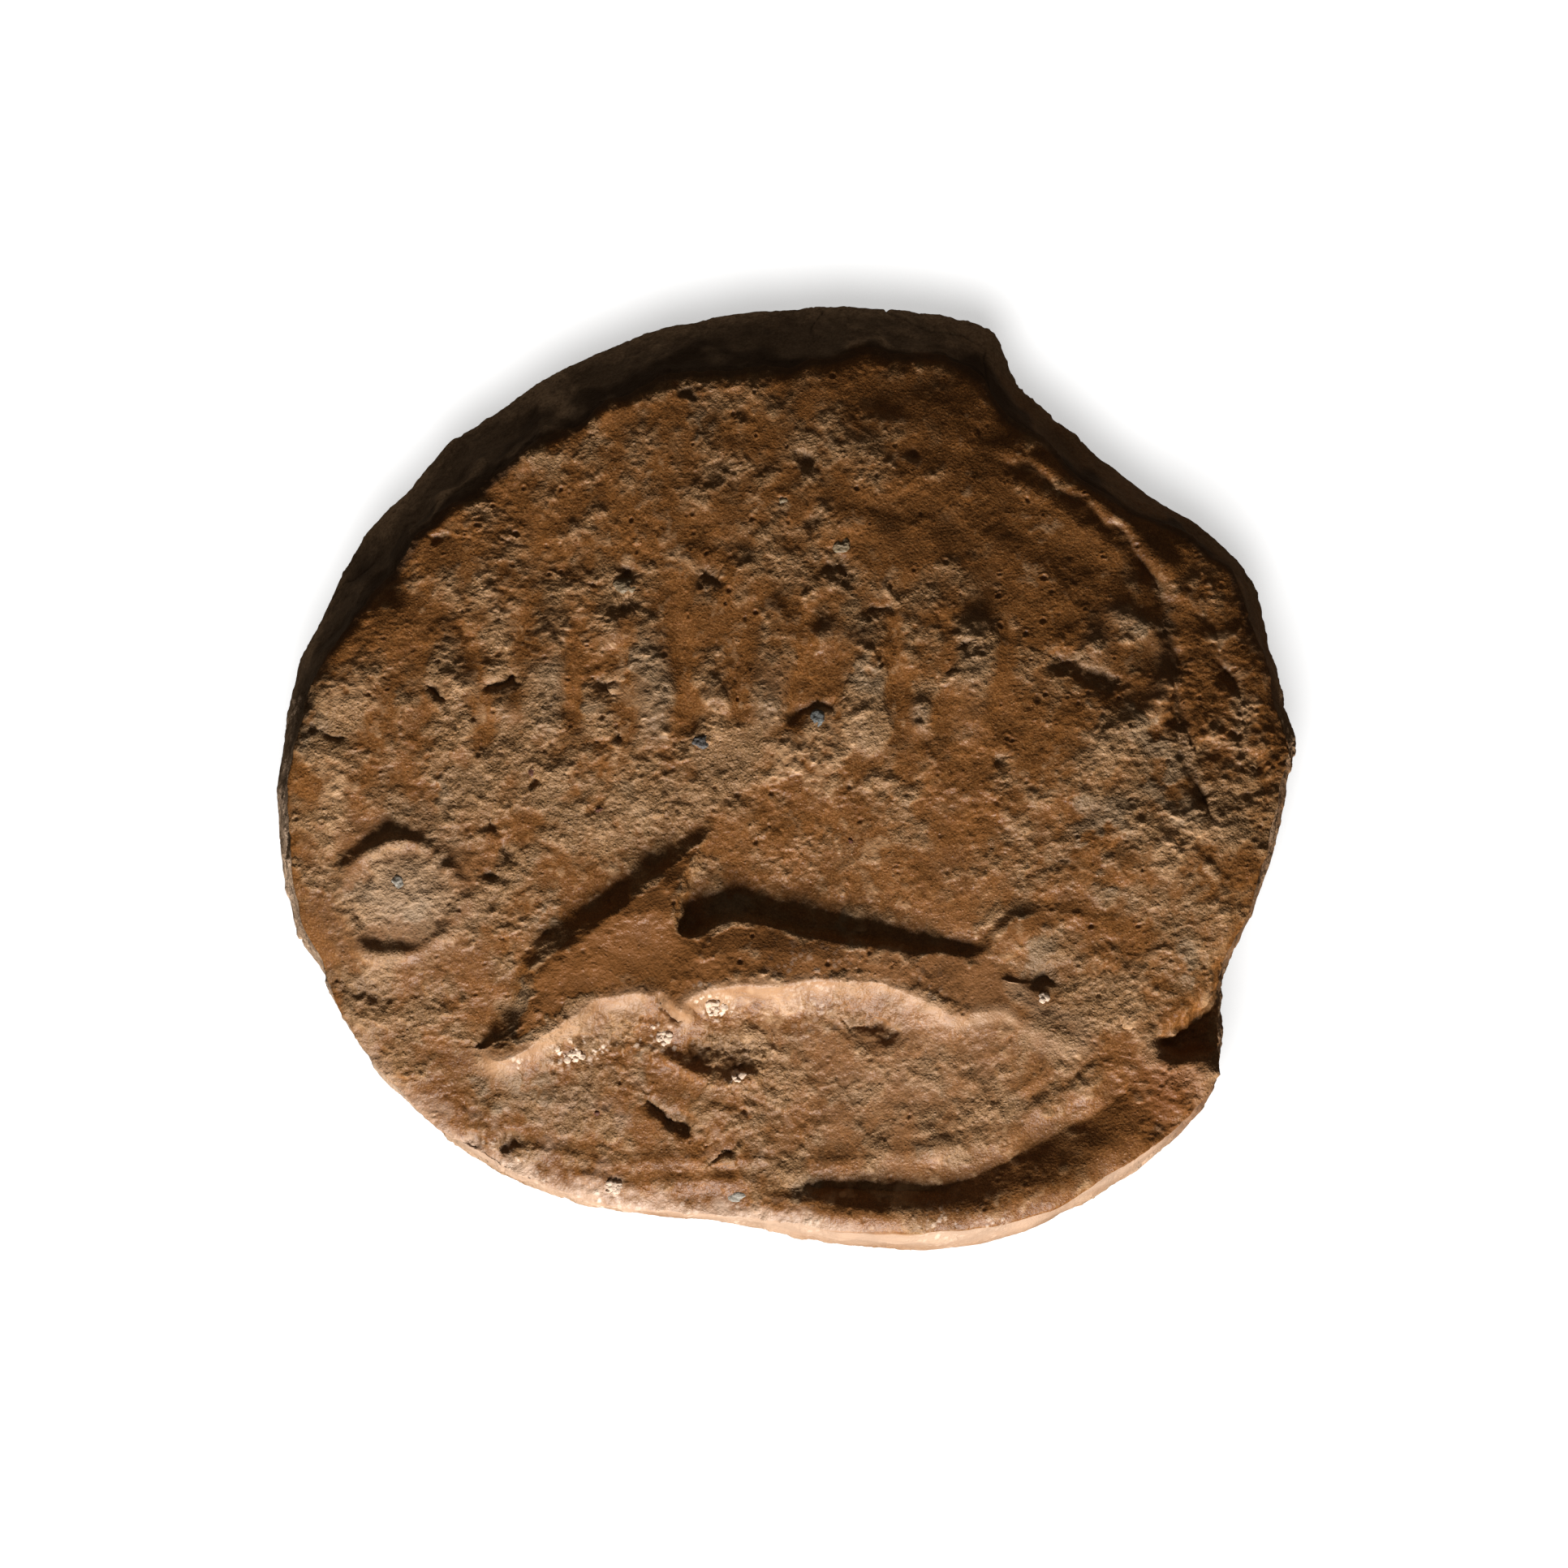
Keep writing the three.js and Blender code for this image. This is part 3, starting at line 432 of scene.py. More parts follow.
# Gashes and cracks: [points, width, depth]
gashes = [
    ([(0.1, -0.485), (0.15, -0.48), (0.21, -0.505)], 0.17, 0.13),
    ([(-0.27, -0.615), (-0.25, -0.645), (-0.22, -0.665), (-0.18, -0.68)], 0.13, 0.21),
    ([(-0.19, -0.525), (-0.13, -0.53), (-0.07, -0.525)], 0.26, 0.11),
    ([(-0.25, -0.43), (-0.225, -0.45), (-0.2, -0.475)], 0.09, 0.15),
    ([(-0.563, -0.43), (-0.538, -0.45), (-0.525, -0.475), (-0.544, -0.497), (-0.579, -0.507)], 0.13, 0.06),
    ([(-0.17, -0.745), (-0.1, -0.73)], 0.07, 0.1),
    ([(-0.708, 0.181), (-0.68, 0.17), (-0.657, 0.162)], 0.11, 0.16),
    ([(-0.593, 0.173), (-0.56, 0.178), (-0.525, 0.192)], 0.11, 0.18),
    ([(0.145, 0.335), (0.18, 0.33), (0.214, 0.333)], 0.09, 0.07),
    ([(-0.013, 0.125), (0.04, 0.138), (0.094, 0.135)], 0.12, 0.09),
    ([(-0.93, 0.11), (-0.87, 0.07)], 0.08, 0.07),
    ([(0.42, 0.615), (0.5, 0.582), (0.58, 0.53), (0.65, 0.47), (0.71, 0.4), (0.75, 0.33)], 0.13, 0.06),
    ([(0.51, 0.235), (0.55, 0.215), (0.6, 0.195), (0.64, 0.175)], 0.19, 0.13),
    ([(0.8, 0.33), (0.845, 0.24), (0.875, 0.14), (0.88, 0.02)], 0.16, 0.07),
    ([(0.685, 0.435), (0.72, 0.35), (0.746, 0.264), (0.755, 0.18), (0.765, 0.1), (0.79, 0.0),
      (0.825, -0.085)], 0.15, 0.09),
    ([(-0.87, -0.4), (-0.83, -0.41), (-0.77, -0.43)], 0.3, 0.08),
]

# How unevenly the seal pressed, and how ragged the edges of the losses are, across and along
press_layers = (
    [(0.07, 1.2, 21), (0.04, 0.4, 22), (0.02, 0.17, 23)],
    [(0.07, 1.2, 24), (0.04, 0.4, 25), (0.02, 0.17, 26)],
)
loss_layers = (
    [(0.1, 0.45, 44), (0.07, 0.2, 45), (0.03, 0.1, 46)],
    [(0.1, 0.45, 47), (0.07, 0.2, 48), (0.03, 0.1, 49)],
)


def shifted(x, y, across, along):
    """The places shifted by smooth random amounts, which makes what was pressed or lost there uneven."""
    return x + layers(level(x, y), across), y + layers(level(x, y), along)


def stamp(x, y):
    """What the seal pressed up, the fish's smooth top and lit flank, and the row's leaves and grooves."""
    fish_height, smooth, lit = fish(x, y)
    small, grooves = leaf_row(x, y)
    gap = np.hypot(*offset_from(ring_shares, x, y)) - RING_RADIUS + layers(level(x, y), ring_wander_layers)
    ring = RING_HEIGHT * (1 + layers(level(x, y), ring_wear_layers)) * mound(gap, RING_WIDTH)
    knob = KNOB_HEIGHT * mound(np.hypot(*offset_from(knob_shares, x, y)), KNOB_RADIUS)
    leafy = np.clip(small / ROW_RAISED_HEIGHT, 0, 1)
    return fish_height + small + ring + knob, smooth, lit, leafy, grooves


def lines(x, y):
    height = np.zeros(x.shape)
    for shares, width, rise in border_lines:
        height += rise * ridge(x, y, shares, width)
    return height * (1 + layers(level(x, y), line_wear_layers))


def losses(x, y):
    depth = np.zeros(x.shape)
    for pit_x, pit_y, reach, deep in pits:
        gap = np.hypot(*offset_from((pit_x, pit_y), x, y))
        depth += PIT_DEPTH_SHARE * deep * np.exp(-((gap / reach) ** PIT_CURVE))
    for shares, width, deep in gashes:
        depth += deep * ridge(x, y, shares, width)
    return depth


def high_lip(x, y):
    foot = line_through(lip_foot_shares)
    distance, along = nearest_on(foot, x, y)
    outer = inside(np.vstack([foot, np.array(lip_beyond_shares) * HALF_WIDTH]), x, y)
    width = np.interp(x / HALF_WIDTH, *np.array(lip_widths).T)
    rise = np.sin(np.clip(distance / width, 0, 1) * math.pi / 2)
    fade = soft_step(along, 0, LIP_START_FADE) * soft_step(1 - along, 0, LIP_END_FADE)
    return LIP_HEIGHT * rise * fade * outer


def face_height(x, y):
    """The plain face with its bends, lips and hollows, without the stamp."""
    height = FACE_HEIGHT - FACE_DROP_ACROSS * (x / HALF_WIDTH) ** 2 - FACE_DROP_ALONG * (y / HALF_WIDTH) ** 2
    for (right, up), start, softness, slope in face_bends:
        height = height - slope * softness * np.logaddexp(0, (x * right + y * up - start) / softness)
    for shares, width, rise in lips:
        height = height + rise * ridge(x, y, shares, width)
    height = height + high_lip(x, y)
    notch = line_through(notch_shares, closed=True)
    distance, _ = nearest_on(notch, x, y, closed=True)
    depth = np.where(inside(notch, x, y), distance, -distance)
    height = height - NOTCH_DEPTH * soft_step(depth, -NOTCH_EDGE_OUTSIDE, NOTCH_EDGE_INSIDE)
    for hollow_x, hollow_y, reach, deep in hollows:
        height = height - deep * mound(np.hypot(*offset_from((hollow_x, hollow_y), x, y)), reach)
    return height


# The lump's skin. The face and its side wall are one grid stretched over the plan, and the underside is
# a coarser one. Where the seal pressed hard the clay has a smooth orange-brown skin. Elsewhere the skin
# flaked off or never formed, and the gritty grey-brown clay with its pores shows.
GRID_CELLS = 700
WALL_RINGS = 50
BACK_CELLS = GRID_CELLS // 2
BACK_INSET = 1.5
wall_shares = [(0, 1), (0.16, 0.9), (0.5, 0.56), (0.84, 0.2), (1, 0)]
underside_shares = [(0.003, 0.97), (0.05, 0.74), (0.22, 0.42), (0.52, 0.16), (1, 0)]
UNDERSIDE_RINGS = 30
worn_layers = [(0.3, 1.3, 27)]


def disc_places(cells):
    """A square grid's places as turn and share of the radius, as rings of squares."""
    steps = np.linspace(-1, 1, cells + 1)
    across, along = np.meshgrid(steps, steps)
    wide = np.abs(across) > np.abs(along)
    safe_across = np.where(across == 0, 1, across)
    safe_along = np.where(along == 0, 1, along)
    turn = np.where(
        wide,
        math.pi / 4 * along / safe_across + np.where(across < 0, math.pi, 0),
        math.pi / 2 - math.pi / 4 * across / safe_along + np.where(along < 0, math.pi, 0),
    )
    return turn.ravel() % math.tau, np.maximum(np.abs(across), np.abs(along)).ravel()


def along_table(shares, place):
    table = np.array(shares, float)
    steps = np.linspace(0, 1, len(table))
    return np.interp(place, steps, table[:, 0]), np.interp(place, steps, table[:, 1])


def upper_skin():
    """The face and the side wall, down to the widest line: the places, and what lies where on them."""
    turn, share = disc_places(GRID_CELLS)
    field_share = 1 - 2 * WALL_RINGS / GRID_CELLS
    width = wall_width(turn)
    field_radius = outline_radius(turn) - width
    in_field = np.minimum(share / field_share, 1)
    x = field_radius * in_field * np.cos(turn)
    y = field_radius * in_field * np.sin(turn)
    pressed = shifted(x, y, *press_layers)
    worn = 1 + layers(level(x, y), worn_layers)
    stamped, smooth, lit, leafy, grooves = stamp(*pressed)
    stamped = (stamped + lines(*pressed)) * worn
    lost = losses(*shifted(x, y, *loss_layers))
    reach = EDGE_REACH + (TOP_EDGE_REACH - EDGE_REACH) * soft_step(np.sin(turn), -0.1, 0.4)
    reach *= 1 + layers(level(x, y), edge_layers)
    rounding = np.clip(1 - field_radius * (1 - in_field) / reach, 0, 1) ** 2
    shoulder = face_height(*pressed) + stamped - lost - EDGE_DROP * rounding
    down = np.clip((share - field_share) / (1 - field_share), 0, 1)
    out, up = along_table(wall_shares, down)
    radius = field_radius * in_field + width * out
    height = np.where(down > 0, EQUATOR_HEIGHT + (shoulder - EQUATOR_HEIGHT) * up, shoulder)
    places = np.stack([radius * np.cos(turn), radius * np.sin(turn), height], 1)
    return places, down, rounding, smooth, lit, lost, leafy, grooves


# The string's groove across the back, and the prints of the papyrus fibres, which run both ways
STRING_RADIUS = 0.5
STRING_TWIST = 0.8
STRING_SPAN = 1.8
STRAND_DEPTH_SHARE = 0.06
string_shares = [
    (-0.9, 0.13), (-0.7, 0.1), (-0.3, 0.04), (0.1, -0.03), (0.5, -0.1), (0.7, -0.14), (0.9, -0.18),
]
FIBRE_DEPTH = 0.03
FIBRE_WIDTH = 0.2
FIBRE_LENGTH = 3


def back_relief(x, y):
    """How far the back is hollowed above the flat that it rests on."""
    distance, along = nearest_on(line_through(string_shares), x, y)
    travel = along * STRING_SPAN * HALF_WIDTH
    strands = STRAND_DEPTH_SHARE * np.sin(math.tau * (travel / STRING_TWIST + distance / STRING_RADIUS / 3))
    groove = np.sqrt(np.clip(STRING_RADIUS**2 - distance**2, 0, None)) * (1 + strands)
    lengthways = noise(level(x / FIBRE_LENGTH, y / FIBRE_WIDTH), 1, 51)
    crossways = noise(level(x / FIBRE_WIDTH, y / FIBRE_LENGTH), 1, 52)
    return np.maximum(groove, FIBRE_DEPTH * np.clip(lengthways + 0.6 * crossways, 0, 1))


def under_skin():
    """The underside, from the widest line in to the middle of the back."""
    turn, share = disc_places(BACK_CELLS)
    flat_share = 1 - 2 * UNDERSIDE_RINGS / BACK_CELLS
    up_the_side = np.clip((share - flat_share) / (1 - flat_share), 0, 1)
    inset, height = along_table(underside_shares[::-1], up_the_side)
    flat_radius = outline_radius(turn) - BACK_INSET
    radius = np.where(
        up_the_side > 0, outline_radius(turn) - BACK_INSET * inset, flat_radius * share / flat_share
    )
    x, y = radius * np.cos(turn), radius * np.sin(turn)
    height = np.maximum(EQUATOR_HEIGHT * height, back_relief(x, y))
    return np.stack([x, y, height], 1)


def grid_faces(cells, first, flipped):
    """The grid's squares as rows of four vertex numbers."""
    index = first + np.arange((cells + 1) ** 2).reshape(cells + 1, cells + 1)
    corners = [index[:-1, :-1], index[:-1, 1:], index[1:, 1:], index[1:, :-1]]
    faces = np.stack([c.ravel() for c in corners], 1)
    return faces[:, ::-1] if flipped else faces


def grid_edge(cells, first):
    """The vertex numbers round the grid's edge, anticlockwise from the lower right."""
    index = first + np.arange((cells + 1) ** 2).reshape(cells + 1, cells + 1)
    return np.concatenate([index[:-1, -1], index[-1, :0:-1], index[:0:-1, 0], index[0, :-1]])


def join_edges(fine, coarse):
    """Triangles between an edge and one with half as many points, which share the widest line."""
    triangles = []
    for k in range(len(coarse)):
        a, b, c = fine[2 * k], fine[2 * k + 1], fine[(2 * k + 2) % len(fine)]
        triangles.append((a, coarse[k], b))
        triangles.append((b, coarse[k], coarse[(k + 1) % len(coarse)]))
        triangles.append((b, coarse[(k + 1) % len(coarse)], c))
    return np.array(triangles)


# The random points of the crumbs repeat after so many cells each way, which is a power of two
CRUMB_CELLS = 16
LEAST_CRUMB = 0.35


def near_crumb(places, cell, seed):
    """How far each place is from the nearest of many random points, and that point's own random value."""
    source = np.random.default_rng(seed)
    centres = source.uniform(0, 1, (CRUMB_CELLS**3, 3)).astype(np.float32)
    values = source.uniform(0, 1, CRUMB_CELLS**3).astype(np.float32)
    scaled = (places / cell + LATTICE_START).astype(np.float32)
    low = scaled.astype(np.int32)
    nearest = np.full(len(places), np.inf, np.float32)
    value = np.zeros(len(places), np.float32)
    for step in np.ndindex(3, 3, 3):
        corner = low + np.array(step, np.int32) - 1
        a, b, c = (corner & (CRUMB_CELLS - 1)).T
        key = (a * CRUMB_CELLS + b) * CRUMB_CELLS + c
        gap = centres[key] + corner - scaled
        gap = np.einsum("ij,ij->i", gap, gap)
        closer = gap < nearest
        nearest[closer] = gap[closer]
        value[closer] = values[key[closer]]
    return np.sqrt(nearest) * cell, value


def crumbly(places, cell, seed):
    """Packed crumbs of different heights, 0 to 1."""
    gap, value = near_crumb(places, cell, seed)
    return (LEAST_CRUMB + (1 - LEAST_CRUMB) * value) * np.clip(1 - (gap / cell) ** 2, 0, 1)


def pocks(places, cell, reach, share, seed):
    """Round hollows or lumps at random places, as many as a share of the cells, 0 to 1 deep."""
    gap, value = near_crumb(places, cell, seed)
    size = np.where(value < share, LEAST_CRUMB + (1 - LEAST_CRUMB) * value / share, 1e-3)
    return size * np.clip(1 - (gap / (size * reach)) ** 2, 0, 1)


def scattered(places, table):
    """Pocks of several sizes, from rows of [depth, cell, reach, share, seed]."""
    return sum(depth * pocks(places, cell, reach, share, seed) for depth, cell, reach, share, seed in table)


def outward(faces, places):
    """Each vertex's outward direction, from the faces round it."""
    corners = places[faces]
    normal = np.cross(corners[:, 2] - corners[:, 0], corners[:, -1] - corners[:, 1])
    total = np.zeros_like(places)
    for column in range(faces.shape[1]):
        for axis in range(3):
            total[:, axis] += np.bincount(faces[:, column], normal[:, axis], len(places))
    return total


top_places, down_wall, rounding, smooth, lit, lost, leafy, grooves = upper_skin()
back_places = under_skin()
places = np.vstack([top_places, back_places])
top_count = len(top_places)
top_faces = grid_faces(GRID_CELLS, 0, flipped=False)
back_faces = grid_faces(BACK_CELLS, top_count, flipped=True)
seam_faces = join_edges(grid_edge(GRID_CELLS, 0), grid_edge(BACK_CELLS, top_count))


def on_face(values):
    """Values for the upper skin, with zero for the underside."""
    return np.concatenate([values, np.zeros(len(back_places))])


def patch(shares, reach):
    """1 in the middle of a round patch of the face, fading out."""
    gap = np.hypot(*offset_from(shares, places[:, 0], places[:, 1]))
    return mound(gap, reach) * (places[:, 2] > EQUATOR_HEIGHT)


def patches(table):
    """Round patches of the face added up, from rows of [x, y, reach in millimetres, share]."""
    return sum(share * patch((x, y), reach) for x, y, reach, share in table)


# How rough the clay is, place by place: [x, y, reach in millimetres, added roughness]
rough_patches = [
    (0.88, 0.12, 1.6, 0.5), (0.745, -0.6, 0.8, 0.9), (-0.93, 0.1, 0.9, 0.1), (-0.62, -0.12, 1.0, 0.2),
    (-0.5, 0.2, 1.2, 0.1), (-0.48, 0.68, 1.0, 0.3), (0.5, -0.4, 0.8, 0.1), (-0.2, -0.78, 1.6, 0.1),
    (-0.31, 0.37, 0.5, 0.2), (0.1, 0.42, 0.5, 0.2), (-0.3, -0.5, 1.0, 0.5), (0.45, 0.5, 3.5, -0.3),
    (-0.2, 0.55, 3.0, -0.15), (0.3, -0.82, 1.3, -0.8), (0.58, -0.7, 1.1, -0.7), (-0.6, -0.62, 1.5, 0.0),
    (0.82, 0.15, 1.1, 0.6), (-0.13, -0.53, 0.5, 0.6), (0.5, 0.61, 0.5, -0.4), (0.6, 0.54, 0.5, -0.4),
    (0.7, 0.45, 0.5, -0.2), (-0.05, 0.65, 1.6, -0.3), (0.8, -0.48, 0.5, 1.0),
    (-0.52, -0.43, 0.6, -0.6), (0.47, -0.4, 0.6, -0.2), (-0.42, -0.5, 0.5, 0.9), (-0.3, -0.47, 0.45, 0.8),
]
# Where the smooth skin is mostly kept (more than 0) or lost: [x, y, reach, share]
skin_patches = [
    (-0.35, 0.6, 2.5, 0.3), (0.3, 0.55, 3.5, 0.4), (-0.1, 0.2, 2.0, -0.3), (-0.5, 0.2, 2.0, -0.3),
    (0.0, -0.12, 2.5, 0.1), (0.6, 0.0, 2.0, -0.1), (0.1, -0.62, 2.0, -0.5), (-0.93, -0.05, 1.2, 0.5),
    (-0.75, -0.235, 0.8, -0.9), (0.55, 0.3, 2.0, 0.2), (-0.75, -0.45, 1.0, 0.2), (0.3, -0.8, 1.3, 0.6),
    (-0.86, -0.3, 0.7, 0.8), (-0.6, -0.1, 1.0, -0.2), (0.4, -0.55, 1.5, -0.5),
    (0.58, -0.7, 1.1, 0.6), (-0.4, -0.7, 1.5, -0.3), (-0.05, 0.65, 1.6, 0.5), (0.5, 0.61, 0.5, 0.5),
    (0.62, 0.52, 0.5, 0.5), (0.72, 0.43, 0.5, 0.5), (0.55, 0.38, 2.0, 0.5), (0.15, -0.87, 0.8, 1.2),
    (0.45, -0.8, 0.9, 1.2), (0.68, -0.68, 0.8, 1.0), (0.85, 0.2, 1.2, 0.7),
]
# Lime dust and crumbs on the crests: [x, y, reach, share]
limed_patches = [
    (-0.165, -0.425, 0.22, 1.0), (-0.14, -0.45, 0.2, 1.0), (-0.12, -0.438, 0.16, 1.0),
    (-0.44, -0.535, 0.25, 1.0), (-0.4, -0.525, 0.22, 1.0), (-0.36, -0.53, 0.2, 0.9),
    (-0.3, -0.51, 0.2, 0.6), (-0.25, -0.49, 0.25, 0.9), (-0.23, -0.515, 0.16, 1.0),
    (-0.525, -0.56, 0.2, 0.7), (-0.1, -0.58, 0.17, 1.0), (-0.585, -0.705, 0.25, 0.4),
    (-0.53, -0.745, 0.3, 0.5), (-0.48, -0.775, 0.3, 0.4), (-0.42, -0.8, 0.25, 0.5), (-0.36, -0.82, 0.3, 0.9),
    (-0.3, -0.835, 0.25, 0.4), (-0.2, -0.842, 0.3, 0.5), (-0.1, -0.85, 0.3, 0.5), (0.05, -0.87, 0.3, 0.35),
    (0.3, -0.88, 0.4, 0.6), (0.4, -0.87, 0.3, 0.5), (0.05, -0.405, 0.8, 0.3), (0.25, -0.43, 0.5, 0.25),
]

# The rubbed top of the fish, its belly's flank, painted paler as a painted highlight, and the clay below it,
# the side wall, and the losses
raised_edge_layers = [(0.4, 0.35, 35), (0.3, 0.14, 36)]
belly_layers = [(0.5, 0.5, 55), (0.5, 0.2, 56)]
BELLY_PAINTED_LIGHT = 0.8
BELOW_BELLY_PALE = 0.3
below_belly_shares = (0.25, -0.56)
BELOW_BELLY_REACH = 2.3
PITTED_DEPTH = 0.1
raised = soft_step(on_face(smooth) + layers(places, raised_edge_layers), 0.35, 0.65)
belly = on_face(lit) * np.clip(BELLY_PAINTED_LIGHT + layers(places, belly_layers), 0, 1)
belly = np.maximum(belly, BELOW_BELLY_PALE * patch(below_belly_shares, BELOW_BELLY_REACH))
wall = np.concatenate([soft_step(down_wall, 0.02, 0.25), np.ones(len(back_places))])
pitted = on_face(np.clip(lost / PITTED_DEPTH, 0, 1))

# How much of the smooth skin is kept, and where a rough crust with a sharp edge lies bare
skin_layers = [(0.9, 1.2, 1), (0.75, 0.5, 2), (0.6, 0.22, 12), (0.35, 0.11, 13)]
crust_edge_layers = [(0.3, 0.07, 57)]
SKIN_KEPT = 0.15
kept = SKIN_KEPT + layers(places, skin_layers) + patches(skin_patches)
for where, share in (
    (raised, 1.1), (pitted, -0.9), (belly, 0.5), (on_face(grooves), 1.5), (on_face(leafy), -0.4),
):
    kept += share * where
skin = soft_step(kept, -0.6, 0.7)
crust = 1 - soft_step(kept + layers(places, crust_edge_layers), -0.15, 0.15)

# How rough it is. The skin, the wall, the grooves and the belly's flank are smoother, and the losses rougher.
roughness_layers = [(0.45, 1.1, 14), (0.5, 0.35, 20)]
MEAN_ROUGHNESS = 1.16
LEAST_ROUGHNESS = 0.25
MOST_ROUGHNESS = 3
roughness = MEAN_ROUGHNESS + layers(places, roughness_layers) + patches(rough_patches)
for where, added in (
    (skin, -0.58), (wall, -0.1), (pitted, 0.4), (on_face(grooves), -0.6), (on_face(lit), -0.4),
):
    roughness += added * where
roughness = np.clip(roughness, LEAST_ROUGHNESS, MOST_ROUGHNESS)

# Where it is greyer: on the worn row and in patches of the crust
row_grey_layers = [(0.9, 0.7, 77)]
crust_grey_layers = [(1, 0.9, 75), (0.4, 0.3, 76)]
ROW_GREY = 0.35
greyed = on_face(leafy) * (ROW_GREY + layers(places, row_grey_layers))
greyed += crust * soft_step(layers(places, crust_grey_layers), 0.35, 0.8)
greyed = np.clip(greyed, 0, 1) * (1 - raised) * (1 - belly)

# The clay's gentle swells, which are coarser on the side, and fine cracks, which opened as it dried
swell_layers = [(0.05, 2.2, 11), (0.055, 1.1, 3), (0.034, 0.56, 4)]
side_layers = [(0.08, 0.9, 59), (0.06, 0.4, 60)]
SIDE_HOLLOW = 0.06
crack_layers = [(1, 1.6, 71), (0.2, 0.35, 72)]
CRACK_DEPTH = 0.06
CRACK_WIDTH = 0.035
side = on_face(soft_step(down_wall, 0.0, 0.1) * (1 - soft_step(down_wall, 0.4, 1)))
swells = layers(places, swell_layers) + side * (layers(places, side_layers) - SIDE_HOLLOW)
cracks = 1 - soft_step(np.abs(layers(places, crack_layers)), 0.0, CRACK_WIDTH)
swells -= CRACK_DEPTH * cracks * wall * soft_step(noise(places, 2.5, 73), -0.1, 0.3)

# Fine grains, the scarps of flaked skin, crumbs of several sizes, small craters with a rim, and pores
WARP = 0.02
grain_layers = [(0.018, 0.28, 9), (0.014, 0.14, 7), (0.011, 0.07, 8)]
shelf_layers = [(1, 0.42, 15), (0.5, 0.17, 16), (0.25, 0.08, 37)]
# The two scarps between flaked skins: [height, where on the shelf it starts, where it is full]
scarp_steps = [(0.014, -0.05, 0.07), (0.01, 0.3, 0.4)]
PACKED_CRUMB_HEIGHT = 0.014
PACKED_CRUMB_CELL = 0.24
# The scattered crumbs, pores and lime dust: [height, cell, reach, share of the cells, seed]
crumb_sizes = [(0.03, 0.34, 0.1, 0.3, 19), (0.024, 0.2, 0.065, 0.5, 28), (0.014, 0.13, 0.045, 0.5, 29)]
loss_crumb_sizes = [(0.03, 0.24, 0.11, 0.8, 38)]
pore_sizes = [(0.07, 0.8, 0.11, 0.2, 17), (0.05, 0.3, 0.065, 0.3, 18)]
lime_dust_sizes = [(1, 0.12, 0.065, 0.8, 39)]
CRATER_CELL = 0.36
CRATER_SHARE = 0.5
CRATER_RIM = 0.015
CRATER_DEPTH = 0.034
# A crater's size runs up from the least. The sizes of its parts, in millimetres, are for a size of 1.
LEAST_CRATER = 0.5
CRATER_SPREAD = 1.8
CRATER_REACH = 0.04
RIM_RADIUS = 0.06
RIM_WIDTH = 0.025
warped = places + WARP * np.stack([noise(places, 0.12, seed) for seed in (41, 42, 43)], 1)
grains = layers(places, grain_layers)
shelf = layers(warped, shelf_layers)
scarps = sum(height * soft_step(shelf, start, full) for height, start, full in scarp_steps)
crumbs = PACKED_CRUMB_HEIGHT * crumbly(warped, PACKED_CRUMB_CELL, 5) + scattered(warped, crumb_sizes)
crumbs += pitted * scattered(warped, loss_crumb_sizes)
gap, value = near_crumb(warped, CRATER_CELL, 58)
size = LEAST_CRATER + CRATER_SPREAD * value
craters = CRATER_RIM * mound(gap - RIM_RADIUS * size, RIM_WIDTH * size)
craters -= CRATER_DEPTH * mound(gap, CRATER_REACH * size)
craters *= value < CRATER_SHARE
pores = scattered(warped, pore_sizes)
lime_dust = scattered(warped, lime_dust_sizes)
limed = np.clip(patches(limed_patches), 0, 1) * soft_step(lime_dust, 0.0, 0.35)

# The relief pushes the skin out or in, and the crust stands a little higher. Its crests and hollows are
# kept as values, too, from which the material paints highlights on the crests and shade in the hollows.
CRUST_RISE = 0.01
LIME_DUST_HEIGHT = 0.03
CREST_LEVEL = 0.008
CREST_HEIGHT = 0.03
MOST_CREST = 2
fine_relief = (scarps + crumbs + grains) * roughness - pores * np.clip(roughness, 0.6, 1.2)
grit = swells + fine_relief + craters + CRUST_RISE * crust * (1 - wall) + LIME_DUST_HEIGHT * limed * lime_dust
crest = crumbs + grains + 0.6 * scarps + (0.3 + 0.5 * side) * swells - pores - CREST_LEVEL
crest = np.clip(crest / CREST_HEIGHT, -MOST_CREST, MOST_CREST)
normals = outward(top_faces, places) + outward(back_faces, places) + outward(seam_faces, places)
normals /= np.maximum(np.linalg.norm(normals, axis=1, keepdims=True), 1e-12)
places = places + normals * grit[:, None]

# The seal was drawn off towards the bottom, so the crumbs lean that way, but not at the rim or the belly
CRUMB_LEAN = 0.7
leaning = CRUMB_LEAN * (1 - wall) * (1 - 0.9 * on_face(lit))
leaning *= 1 - on_face(soft_step(rounding, 0.0, 0.5))
places[:, 1] -= leaning * np.clip(fine_relief, -0.05, 0.08)

middle = (plan.min(0) + plan.max(0)) / 2
places[:, :2] += (np.array(cad_low[:2]) + np.array(cad_high[:2])) / 2 / MM - middle
places[:, 2] = np.maximum(places[:, 2], 0)


def mesh_from(name, places, face_groups):
    """A smooth-shaded mesh object from places in millimetres and arrays of faces."""
    mesh = bpy.data.meshes.new(name)
    corners = np.concatenate([faces.ravel() for faces in face_groups])
    sizes = np.concatenate([np.full(len(faces), faces.shape[1]) for faces in face_groups])
    mesh.vertices.add(len(places))
    mesh.vertices.foreach_set("co", (places * MM).ravel())
    mesh.loops.add(len(corners))
    mesh.loops.foreach_set("vertex_index", corners.astype(np.int32))
    mesh.polygons.add(len(sizes))
    starts = np.concatenate([[0], np.cumsum(sizes)[:-1]])
    mesh.polygons.foreach_set("loop_start", starts.astype(np.int32))
    mesh.update(calc_edges=True)
    mesh.validate()
    mesh.shade_smooth()
    made = bpy.data.objects.new(name, mesh)
    bpy.context.scene.collection.objects.link(made)
    return made


